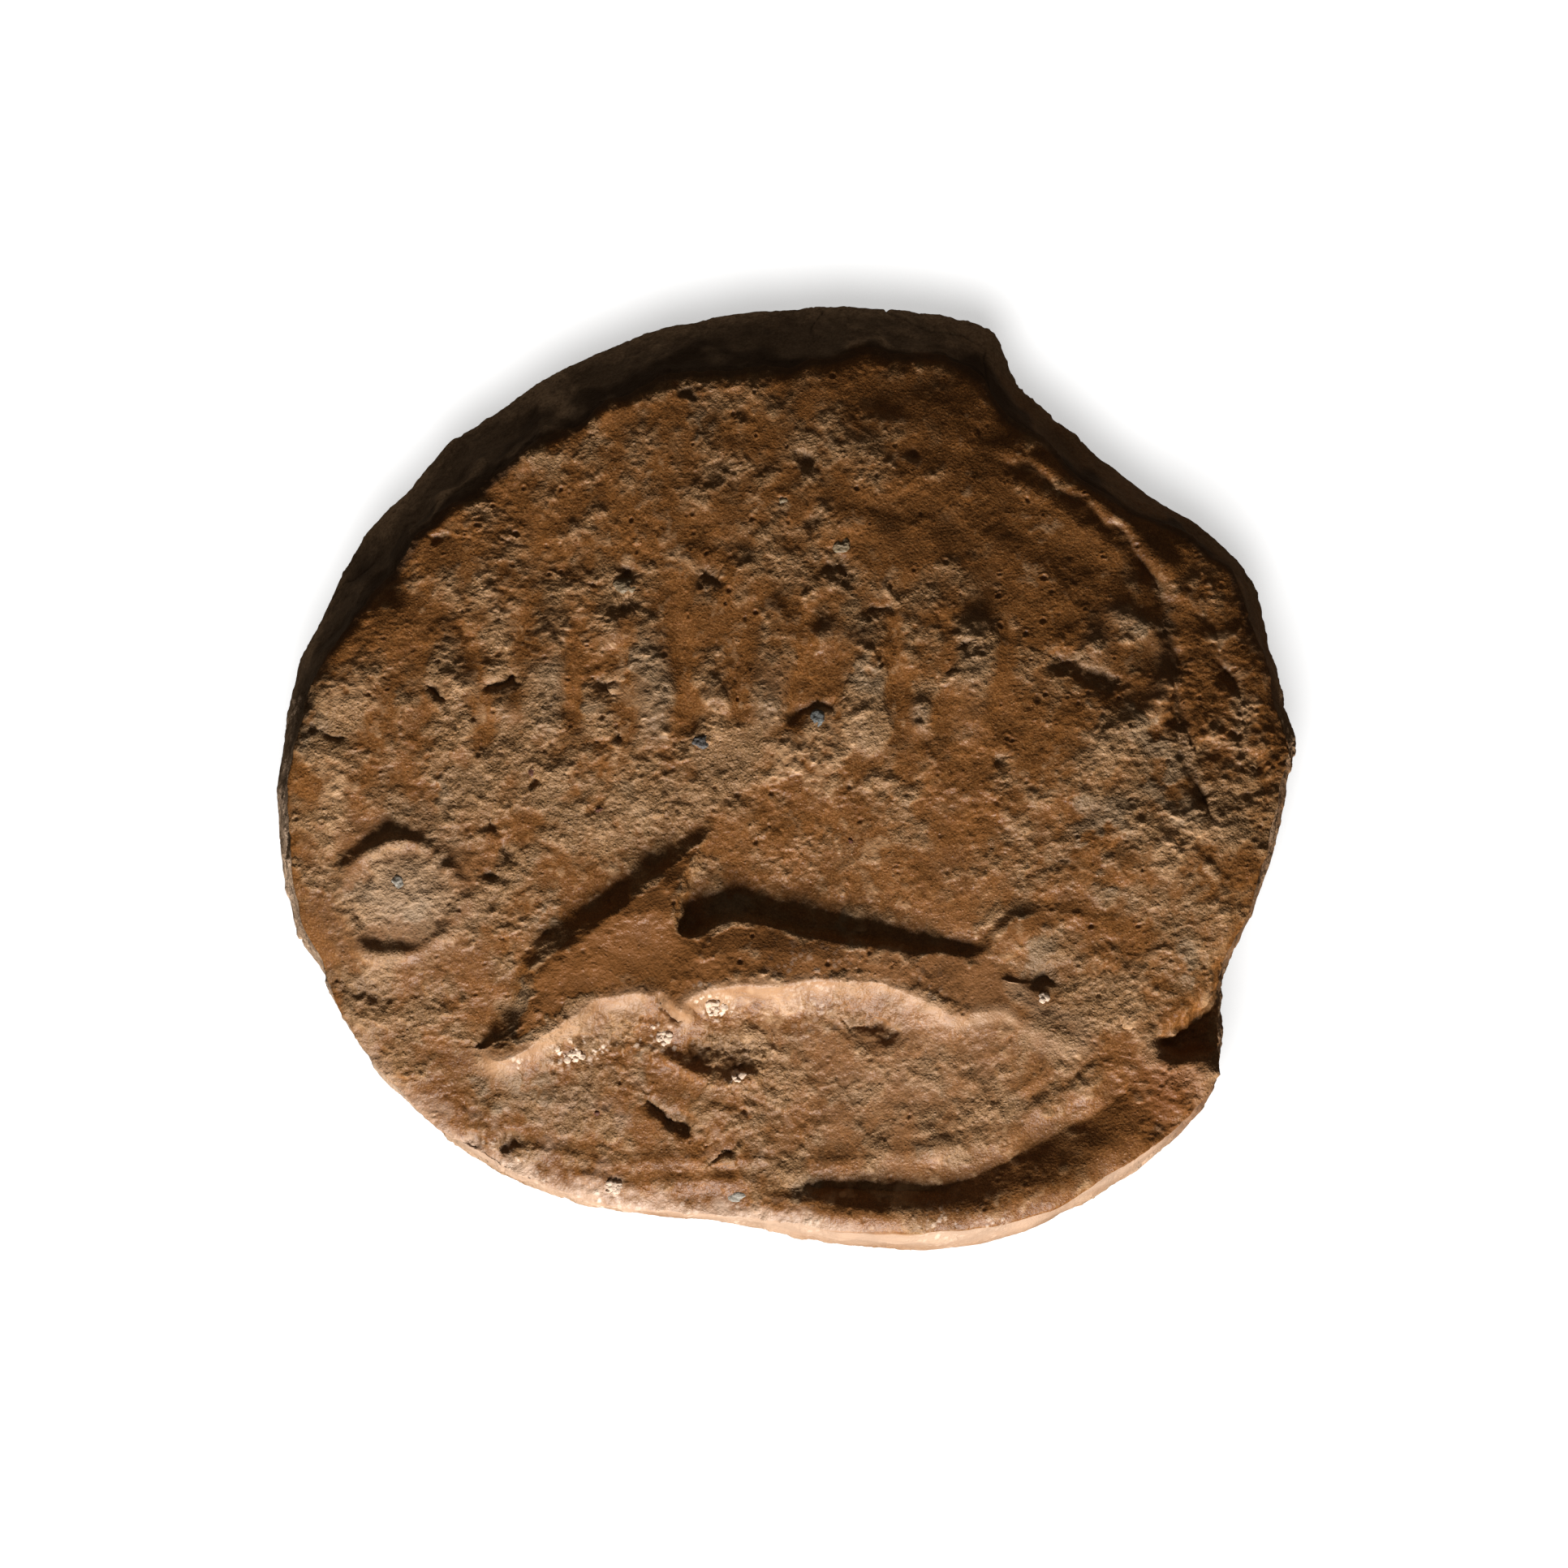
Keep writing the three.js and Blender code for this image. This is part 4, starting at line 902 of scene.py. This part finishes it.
def paint(piece, name, values):
    """Keeps one value for each vertex, which the material reads by name."""
    layer = piece.data.attributes.new(name, "FLOAT", "POINT")
    layer.data.foreach_set("value", np.asarray(values, np.float32))


def add(tree, kind, output=0, **values):
    """Adds a node and returns one of its outputs. Values with a small first letter are its properties, and
    the others are its inputs, by name or by number after a capital I."""
    made = tree.nodes.new("ShaderNode" + kind)
    for key, value in values.items():
        if key[0].islower():
            setattr(made, key, value)
    for key, value in values.items():
        if key[0].islower():
            continue
        socket = made.inputs[int(key[1:])] if key[1:].isdigit() else made.inputs[key.replace("_", " ")]
        if isinstance(value, bpy.types.NodeSocket):
            tree.links.new(value, socket)
        else:
            socket.default_value = value
    return made.outputs[output]


def colour(red, green, blue):
    """A colour written as 0 to 255, as linear light with full alpha."""
    values = [c / 255 for c in (red, green, blue)]
    return [c / 12.92 if c < 0.04045 else ((c + 0.055) / 1.055) ** 2.4 for c in values] + [1]


def mix(tree, share, first, second, **settings):
    """One colour laid over another. The node's colour sockets share their names, so they go by number."""
    return add(tree, "Mix", 2, data_type="RGBA", I0=share, I6=first, I7=second, **settings)


def between(tree, value, low, high, to_low=0.0, to_high=1.0):
    """A value's way from low to high, as the way from to_low to to_high."""
    return add(tree, "MapRange", Value=value, From_Min=low, From_Max=high, To_Min=to_low, To_Max=to_high)


def node_group(name, inputs, outputs):
    """A new shader node group with named sockets, its inputs and its output node."""
    group = bpy.data.node_groups.new(name, "ShaderNodeTree")
    for socket, kind in inputs:
        group.interface.new_socket(socket, in_out="INPUT", socket_type="NodeSocket" + kind)
    for socket, kind in outputs:
        group.interface.new_socket(socket, in_out="OUTPUT", socket_type="NodeSocket" + kind)
    return group, group.nodes.new("NodeGroupInput").outputs, group.nodes.new("NodeGroupOutput").inputs


def maths(tree, operation, first, second=0.0, **settings):
    return add(tree, "Math", operation=operation, I0=first, I1=second, **settings)


# Round crumbs, or round pores where they are taken away, in some of the cells of a given size
CRUMB_ROUNDNESS = 0.7
crumb_field, given, wanted = node_group(
    "crumb_field", [("Place", "Vector"), ("Cell", "Float"), ("Share", "Float")], [("Height", "Float")]
)
tree = crumb_field
cell_scale = maths(tree, "DIVIDE", 1.0, given["Cell"])
cells = add(tree, "TexVoronoi", "Distance", Vector=given["Place"], Scale=cell_scale)
chance = add(tree, "SeparateColor", "Red", Color=cells.node.outputs["Color"])
missing = maths(tree, "SUBTRACT", 1.0, given["Share"])
reach = maths(tree, "DIVIDE", maths(tree, "SUBTRACT", chance, missing), given["Share"])
dome = maths(tree, "SUBTRACT", maths(tree, "MULTIPLY", reach, 0.5), cells, use_clamp=True)
tree.links.new(maths(tree, "POWER", dome, CRUMB_ROUNDNESS), wanted["Height"])

# The bumps too small for the mesh, as a height in millimetres turned into a normal. Besides the fine
# noise there are crumbs of two sizes and pores: [share of the cell, share that are filled, share of depth]
bump_sizes = [(1.8, 0.5, 1.0), (1.0, 0.6, 0.6), (3.2, 0.25, -1.2)]
gritty_normal, given, wanted = node_group(
    "gritty_normal", [("Place", "Vector"), ("Cell", "Float"), ("Depth", "Float")], [("Normal", "Vector")]
)
tree = gritty_normal
grain_scale = maths(tree, "DIVIDE", 1.0, given["Cell"])
heights = add(tree, "TexNoise", Vector=given["Place"], Scale=grain_scale, Detail=2, Roughness=0.5)
heights = maths(tree, "MULTIPLY", heights, given["Depth"])
for cell_share, share, depth_share in bump_sizes:
    cell = maths(tree, "MULTIPLY", given["Cell"], cell_share)
    field = add(tree, "Group", node_tree=crumb_field, Place=given["Place"], Share=share, Cell=cell)
    depth = maths(tree, "MULTIPLY", given["Depth"], depth_share)
    heights = maths(tree, "ADD", heights, maths(tree, "MULTIPLY", field, depth))
tree.links.new(add(tree, "Bump", Height=heights, Strength=1.0, Distance=MM), wanted["Normal"])

# Two colours in patches, with dark and pale specks of the finest grains, in two sizes:
# [how much finer, detail, roughness, then for dark and for pale where they start and are full, and share]
speck_sizes = [
    (9.0, 5, 0.7, (0.5, 0.3, 0.6), (0.54, 0.74, 0.6)), (24.0, 2, 0.5, (0.48, 0.3, 0.5), (0.54, 0.7, 0.5)),
]
tint_names = ("First", "Second", "Dark", "Pale")
mottle, given, wanted = node_group(
    "mottle", [("Place", "Vector"), ("Cell", "Float")] + [(name, "Color") for name in tint_names],
    [("Colour", "Color")]
)
tree = mottle
patch_scale = maths(tree, "DIVIDE", 1.0, given["Cell"])
mottled = add(tree, "TexNoise", Vector=given["Place"], Scale=patch_scale, Detail=6, Roughness=0.65)
mottled = mix(tree, between(tree, mottled, 0.38, 0.62), given["First"], given["Second"])
for finer, detail, texture, dark, pale in speck_sizes:
    scale = maths(tree, "MULTIPLY", patch_scale, finer)
    specks = add(tree, "TexNoise", Vector=given["Place"], Scale=scale, Detail=detail, Roughness=texture)
    for tint, (start, full, share) in (("Dark", dark), ("Pale", pale)):
        mottled = mix(tree, between(tree, specks, start, full, 0.0, share), mottled, given[tint])
tree.links.new(mottled, wanted["Colour"])


def new_material(name):
    """A new material, its tree, its shader and the place on the object in millimetres."""
    made = bpy.data.materials.new(name)
    made.use_nodes = True
    tree = made.node_tree
    metres = add(tree, "TexCoord", "Object")
    place = add(tree, "VectorMath", operation="SCALE", I0=metres, Scale=1 / MM)
    return made, tree, tree.nodes["Principled BSDF"], place


def speckled(tree, place, cell, *colours):
    """The mottle of four colours written as 0 to 255: two of the body, then dark and pale specks."""
    tints = {name: colour(*tint) for name, tint in zip(tint_names, colours)}
    return add(tree, "Group", node_tree=mottle, Place=place, Cell=cell, **tints)


# The lower rim, on the lamp's side, painted paler: partly paler clay, partly painted light. The outside,
# painted paler at the upper left as painted light, and the deep painted shade under the rim at the top
rim_layers = [(0.5, 0.4, 61), (0.4, 0.15, 62)]
rim_foot_layers = [(0.5, 0.6, 74)]
shade_edge_layers = [(0.3, 1.0, 64), (0.2, 0.3, 65)]
broken_shares = (0.745, -0.6)
BROKEN_REACH = 0.85
shaded_hollow_shares = (-0.823, 0.4)
SHADED_HOLLOW_REACH = 0.4
PORE_SHADE = 6
across_share, up_share = places[:, 0] / HALF_WIDTH, places[:, 1] / HALF_WIDTH
rim = 1.3 * on_face(rounding) + layers(places, rim_layers) - 0.2
rim = np.clip(rim, 0, 1) * (1 - soft_step(across_share, 0.0, 0.25))
lower_rim = np.maximum(wall, rim) * soft_step(-up_share, 0.4, 0.8)
lower_rim *= soft_step(places[:, 2] + layers(places, rim_foot_layers), 1.4, 3.6)
# Painted light: the outside's pale colour is strongest at the upper left and weakest at the upper right, and
# middling below the widest line
painted_light_upper_left = 0.25 + 0.75 * soft_step(up_share - 1.5 * across_share, 0.0, 0.6)
painted_light_upper_left += (0.5 - painted_light_upper_left) * soft_step(EQUATOR_HEIGHT - places[:, 2], 0.0, 1.5)
ragged_down = down_wall + layers(top_places, shade_edge_layers)
# Painted shade: dark at the top of the wall, on the face's rounded top edge and in a hollow of the wall at
# the left
shaded = np.maximum(soft_step(down_wall, 0.0, 0.05), 0.8 * soft_step(rounding, 0.2, 0.6))
shaded = shaded * (1 - soft_step(ragged_down, 0.25, 0.5))
shaded = on_face(shaded * soft_step(top_places[:, 1] / HALF_WIDTH, 0.0, 0.4))
shaded = np.maximum(shaded, patch(shaded_hollow_shares, SHADED_HOLLOW_REACH))
painted = {
    "raised": raised, "wall": wall * painted_light_upper_left, "lower_rim": lower_rim, "skin": skin, "crest": crest,
    "pitted": np.clip(pitted + PORE_SHADE * pores, 0, 1), "broken": patch(broken_shares, BROKEN_REACH),
    "limed": limed, "disc": patch(ring_shares, RING_RADIUS), "belly": belly, "shaded": shaded,
    "greyed": greyed,
}
lump = mesh_from("pressed_clay_lump", places, [top_faces, back_faces, seam_faces])
for name, values in painted.items():
    paint(lump, name, values)

# The colours laid over the body and its skin, in order: [painted name, where it starts and is full, share,
# colour]. The outside comes between the two tables.
face_tints = [
    ("greyed", 0.0, 1.0, 0.5, (118, 99, 76)), ("raised", 0.2, 1.0, 0.75, (120, 75, 34)),
    # The two crest tints: painted shade in the hollows and painted highlights on the crests
    ("crest", 0.2, -1.2, 0.35, (76, 46, 18)), ("crest", 0.7, 1.7, 0.7, (180, 141, 102)),
    # The pits and pores are darkened, partly as soil in them, partly as painted shade
    ("pitted", 0.0, 1.0, 0.45, (78, 52, 28)), ("disc", 0.0, 1.0, 0.45, (154, 128, 102)),
    # The belly's flank, which faces the lamp, is painted paler as a painted highlight, and the clay below it
    # a little paler
    ("belly", 0.0, 1.0, 0.7, (166, 130, 97)),
]
outer_tints = [
    # Painted shade, then the lower rim, painted paler partly as paler clay and partly as painted light
    ("shaded", 0.0, 1.0, 0.85, (62, 43, 28)), ("lower_rim", 0.0, 1.0, 0.7, (188, 158, 134)),
    ("broken", 0.0, 1.0, 0.75, (118, 69, 30)), ("limed", 0.0, 1.0, 0.9, (222, 198, 176)),
]
OUTSIDE_SHARE = 0.95
CLAY_SPECULAR = 0.26
BARE_ROUGHNESS = 0.56
SKIN_ROUGHNESS = 0.48
BUMP_CELL = 0.05
BARE_BUMP = 0.028
SKIN_BUMP = 0.015


def tinted(clay, tints):
    """The clay's colour with a table of tints laid over it."""
    for name, start, full, share, tint in tints:
        clay = mix(tree, between(tree, painted[name], start, full, 0.0, share), clay, colour(*tint))
    return clay


clay_material, tree, shader, place = new_material("pressed_clay")
painted = {name: add(tree, "Attribute", "Fac", attribute_name=name) for name in painted}
body = speckled(tree, place, 0.9, (124, 91, 56), (137, 99, 60), (82, 55, 31), (174, 138, 101))
skinned = speckled(tree, place, 0.7, (104, 62, 22), (128, 79, 33), (72, 42, 14), (158, 114, 68))
outside = speckled(tree, place, 1.2, (196, 166, 138), (158, 130, 104), (88, 64, 46), (222, 196, 168))
clay = tinted(mix(tree, painted["skin"], body, skinned), face_tints)
# The outside's pale colour, weighted by the painted light of the upper left
clay = mix(tree, maths(tree, "MULTIPLY", painted["wall"], OUTSIDE_SHARE), clay, outside)
# Painted shade in the hollows of the wall: its low places are darkened
sunk = maths(tree, "MULTIPLY", between(tree, painted["crest"], 0.2, -1.4, 0.0, 0.65), painted["wall"])
clay = tinted(mix(tree, sunk, clay, colour(66, 48, 34)), outer_tints)
tree.links.new(clay, shader.inputs["Base Color"])
polish = between(tree, painted["skin"], 0.0, 1.0, BARE_ROUGHNESS, SKIN_ROUGHNESS)
tree.links.new(polish, shader.inputs["Roughness"])
shader.inputs["Specular IOR Level"].default_value = CLAY_SPECULAR
bump_depth = between(tree, painted["skin"], 0.0, 1.0, BARE_BUMP, SKIN_BUMP)
bump = add(tree, "Group", node_tree=gritty_normal, Place=place, Cell=BUMP_CELL, Depth=bump_depth)
tree.links.new(bump, shader.inputs["Normal"])
lump.data.materials.append(clay_material)
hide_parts("clay_lump")
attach(lump, "root")

# The grains of grey-white limestone, one in the bottom rim and one in the ring. The clay wasn't washed
# clean, so it holds sand, lime and chips of stone, and some lie bare, each sunk in its own pocket.
STONE_PROUD_SHARE = 0.14
STONE_MOTTLE_CELL = 0.3
STONE_BUMP_CELL = 0.06
STONE_BUMP_DEPTH = 0.012
STONE_SPECULAR = 0.3
# How uneven a stone is: [weight, cell as a share of its half width, seed after its own]
stone_layers = [(0.16, 0.8, 0), (0.07, 0.3, 1), (0.03, 0.12, 2)]


def face_level(x, y):
    """The height of the finished face at a place, in millimetres."""
    top = places[:top_count]
    return top[np.argmin((top[:, 0] - x) ** 2 + (top[:, 1] - y) ** 2), 2]


def ball(steps):
    """A round mesh's places, 1 from its middle, and its triangles."""
    made = bmesh.new()
    bmesh.ops.create_icosphere(made, subdivisions=steps, radius=1)
    shape = np.array([vertex.co for vertex in made.verts])
    triangles = np.array([[vertex.index for vertex in face.verts] for face in made.faces])
    made.free()
    return shape, triangles


def stone_shape(shape, seed, facets, flatness):
    """A round shape made uneven, with some flat broken faces, filling -1 to 1 each way."""
    source = np.random.default_rng(seed)
    reach = np.ones(len(shape))
    for _ in range(facets):
        way = source.normal(size=3)
        facing = shape @ (way / np.linalg.norm(way))
        reach = np.minimum(reach, flatness / np.maximum(facing, 1e-3))
    reach = reach + layers(shape, [(weight, cell, seed + later) for weight, cell, later in stone_layers])
    uneven = shape * reach[:, None]
    low, high = uneven.min(0), uneven.max(0)
    return (uneven - low) / (high - low) * 2 - 1


def stone(node, material, seed, facets, flatness):
    """A grain of its CAD node's size, partly sunk in the face at the node's place."""
    low, high = (np.array(corner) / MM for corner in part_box(node))
    shape, triangles = ball(5)
    centre, half = (low + high) / 2, (high - low) / 2
    centre[2] = face_level(centre[0], centre[1]) + half[2] * (2 * STONE_PROUD_SHARE - 1)
    shape = stone_shape(shape, seed, facets, flatness) * half + centre
    made = mesh_from(node + "_stone", shape, [triangles])
    made.data.materials.append(material)
    return made


def stone_material(name, roughness, *colours):
    """A gritty stone, mottled in four colours."""
    made, tree, shader, place = new_material(name)
    tree.links.new(speckled(tree, place, STONE_MOTTLE_CELL, *colours), shader.inputs["Base Color"])
    gritty = add(
        tree, "Group", node_tree=gritty_normal, Place=place, Cell=STONE_BUMP_CELL, Depth=STONE_BUMP_DEPTH
    )
    tree.links.new(gritty, shader.inputs["Normal"])
    shader.inputs["Roughness"].default_value = roughness
    shader.inputs["Specular IOR Level"].default_value = STONE_SPECULAR
    return made


limestone = stone_material(
    "grey_white_limestone", 0.6, (146, 138, 126), (124, 116, 104), (88, 78, 64), (184, 176, 164))
for node, seed in (("pale_limestone_grain", 101), ("grey_limestone_grain", 102)):
    piece = stone(node, limestone, seed, facets=5, flatness=0.86)
    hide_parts(node)
    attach(piece, "root")

# The blue-grey grain near the middle. It is a sharp chip of flint, split from a nodule, and it was mixed
# into the clay with the sand. The dried clay grips it on all sides but the top.
flint = stone_material("blue_grey_flint", 0.5, (108, 110, 108), (88, 88, 86), (56, 50, 44), (150, 148, 142))
piece = stone("blue_grey_flint_grain", flint, 103, facets=10, flatness=0.7)
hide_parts("blue_grey_flint_grain")
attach(piece, "root")

# The dark grain left of the middle. It is a worn crumb of basalt from the sand in the clay, and the
# dried clay grips it in its pocket.
basalt = stone_material("dark_basalt", 0.55, (82, 78, 74), (66, 62, 60), (34, 32, 32), (122, 116, 108))
piece = stone("dark_basalt_grain", basalt, 104, facets=8, flatness=0.78)
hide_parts("dark_basalt_grain")
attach(piece, "root")

# The white lime flecks on the fish's belly, under it, at the rim and at the tail. Each was a soft lump of
# lime that burst into white crumbs at the surface of the clay, so it is a core with crumbs round it.
lime_crumbs = [26, 24, 22, 10, 24, 5]
LIME_CRUMB_RADIUS = 0.08
LIME_CORE_SHARE = 0.4
LIME_SUNK_SHARE = 0.3
LIME_FACETS = 5
LIME_FLATNESS = 0.75
lime = stone_material("burst_lime", 0.7, (202, 178, 156), (184, 158, 134), (142, 112, 86), (222, 202, 184))
for number, crumb_count in enumerate(lime_crumbs, 1):
    node = f"lime_fleck_{number}"
    source = np.random.default_rng(200 + number)
    low, high = (np.array(corner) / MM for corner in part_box(node))
    centre, half = (low + high) / 2, (high - low) / 2
    shape, triangles = ball(3)
    lumps, sides = [], []
    turn, out = 0, 0
    for crumb in range(crumb_count):
        if crumb:
            turn, out = turn + source.uniform(0, 1.2), math.sqrt(source.uniform(0.05, 1))
        x = centre[0] + half[0] * out * math.cos(turn)
        y = centre[1] + half[1] * out * math.sin(turn)
        size = half * LIME_CORE_SHARE
        if crumb:
            size = LIME_CRUMB_RADIUS * source.uniform(0.4, 1.3) * source.uniform(0.6, 1, 3)
        middle = np.array([x, y, face_level(x, y) - LIME_SUNK_SHARE * size[2]])
        uneven = stone_shape(shape, 210 + 10 * number + crumb, LIME_FACETS, LIME_FLATNESS)
        lumps.append(uneven * size + middle)
        sides.append(triangles + crumb * len(shape))
    piece = mesh_from(node + "_crumbs", np.vstack(lumps), [np.vstack(sides)])
    piece.data.materials.append(lime)
    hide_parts(node)
    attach(piece, "root")

# The three gritty sand grains beside the pits above the middle. They are rounded quartz and feldspar,
# stained by the clay.
sand = stone_material("stained_sand", 0.55, (118, 100, 74), (96, 76, 52), (46, 34, 22), (168, 150, 120))
for node, seed in (("sand_grain_1", 105), ("sand_grain_2", 106), ("sand_grain_3", 107)):
    piece = stone(node, sand, seed, facets=5, flatness=0.86)
    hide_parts(node)
    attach(piece, "root")

# The four dark red specks in the face. They are soft lumps of iron-rich ochre that were in the clay when
# it was dug, and each is stuck in its own pocket.
ochre = stone_material("red_ochre", 0.7, (88, 48, 28), (74, 38, 22), (44, 22, 12), (126, 78, 50))
for number in range(1, 5):
    node = f"red_ochre_speck_{number}"
    piece = stone(node, ochre, 120 + number, facets=4, flatness=0.85)
    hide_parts(node)
    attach(piece, "root")

# The table and the light. The lump lies on a pale table. One lamp rakes the stamped face from below the
# picture, and a broad soft light over the table leaves the lump's short shadow above it.
RAKE_HEIGHT = math.radians(23)
RAKE_TURN = math.radians(-3)
RAKE_SPREAD = math.radians(18)
# As strong as it has to be for a level surface to render about as its colour is written
RAKE_STRENGTH = math.pi / math.sin(RAKE_HEIGHT)
TABLE_LAMP_HEIGHT = math.radians(72)
TABLE_LAMP_TURN = math.radians(-14)
TABLE_LAMP_SPREAD = math.radians(28)
TABLE_LAMP_STRENGTH = 2.95
TABLE_WIDTH = 4
TABLE_GLOW = 0.55
ROOM_COLOUR = (0.082, 0.072, 0.058, 1)
WHITE = (1, 1, 1, 1)
bpy.ops.mesh.primitive_plane_add(size=TABLE_WIDTH)
table = bpy.context.object
table.name = "pale_table"
table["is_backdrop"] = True
table_material = bpy.data.materials.new("pale_table")
table_material.use_nodes = True
tree = table_material.node_tree
shader = tree.nodes["Principled BSDF"]
shader.inputs["Roughness"].default_value = 1
shader.inputs["Specular IOR Level"].default_value = 0
# The camera sees a pale, faintly glowing table, and the lump gets the light of a darker, browner one
seen = add(tree, "LightPath", "Is Camera Ray")
tree.links.new(mix(tree, seen, colour(84, 73, 60), colour(208, 208, 208)), shader.inputs["Base Color"])
shader.inputs["Emission Color"].default_value = WHITE
tree.links.new(maths(tree, "MULTIPLY", seen, TABLE_GLOW), shader.inputs["Emission Strength"])
table.data.materials.append(table_material)


def lamp(name, strength, height, turn, spread, lit, left_out=False):
    """A distant lamp, from a height above the table and a turn to the right of straight below."""
    data = bpy.data.lights.new(name, "SUN")
    data.energy = strength
    data.angle = spread
    made = bpy.data.objects.new(name, data)
    made.rotation_euler = (math.pi / 2 - height, 0, turn)
    bpy.context.scene.collection.objects.link(made)
    chosen = bpy.data.collections.new(name + "_lights")
    chosen.objects.link(lit)
    if left_out:
        chosen.collection_objects[0].light_linking.link_state = "EXCLUDE"
    made.light_linking.receiver_collection = chosen
    return made


lamp("raking_lamp", RAKE_STRENGTH, RAKE_HEIGHT, RAKE_TURN, RAKE_SPREAD, table, left_out=True)
lamp("table_lamp", TABLE_LAMP_STRENGTH, TABLE_LAMP_HEIGHT, TABLE_LAMP_TURN, TABLE_LAMP_SPREAD, table)
world = bpy.data.worlds.new("room")
bpy.context.scene.world = world
world.use_nodes = True
tree = world.node_tree
room = mix(tree, add(tree, "LightPath", "Is Camera Ray"), ROOM_COLOUR, WHITE)
tree.links.new(room, tree.nodes["Background"].inputs["Color"])

low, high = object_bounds()
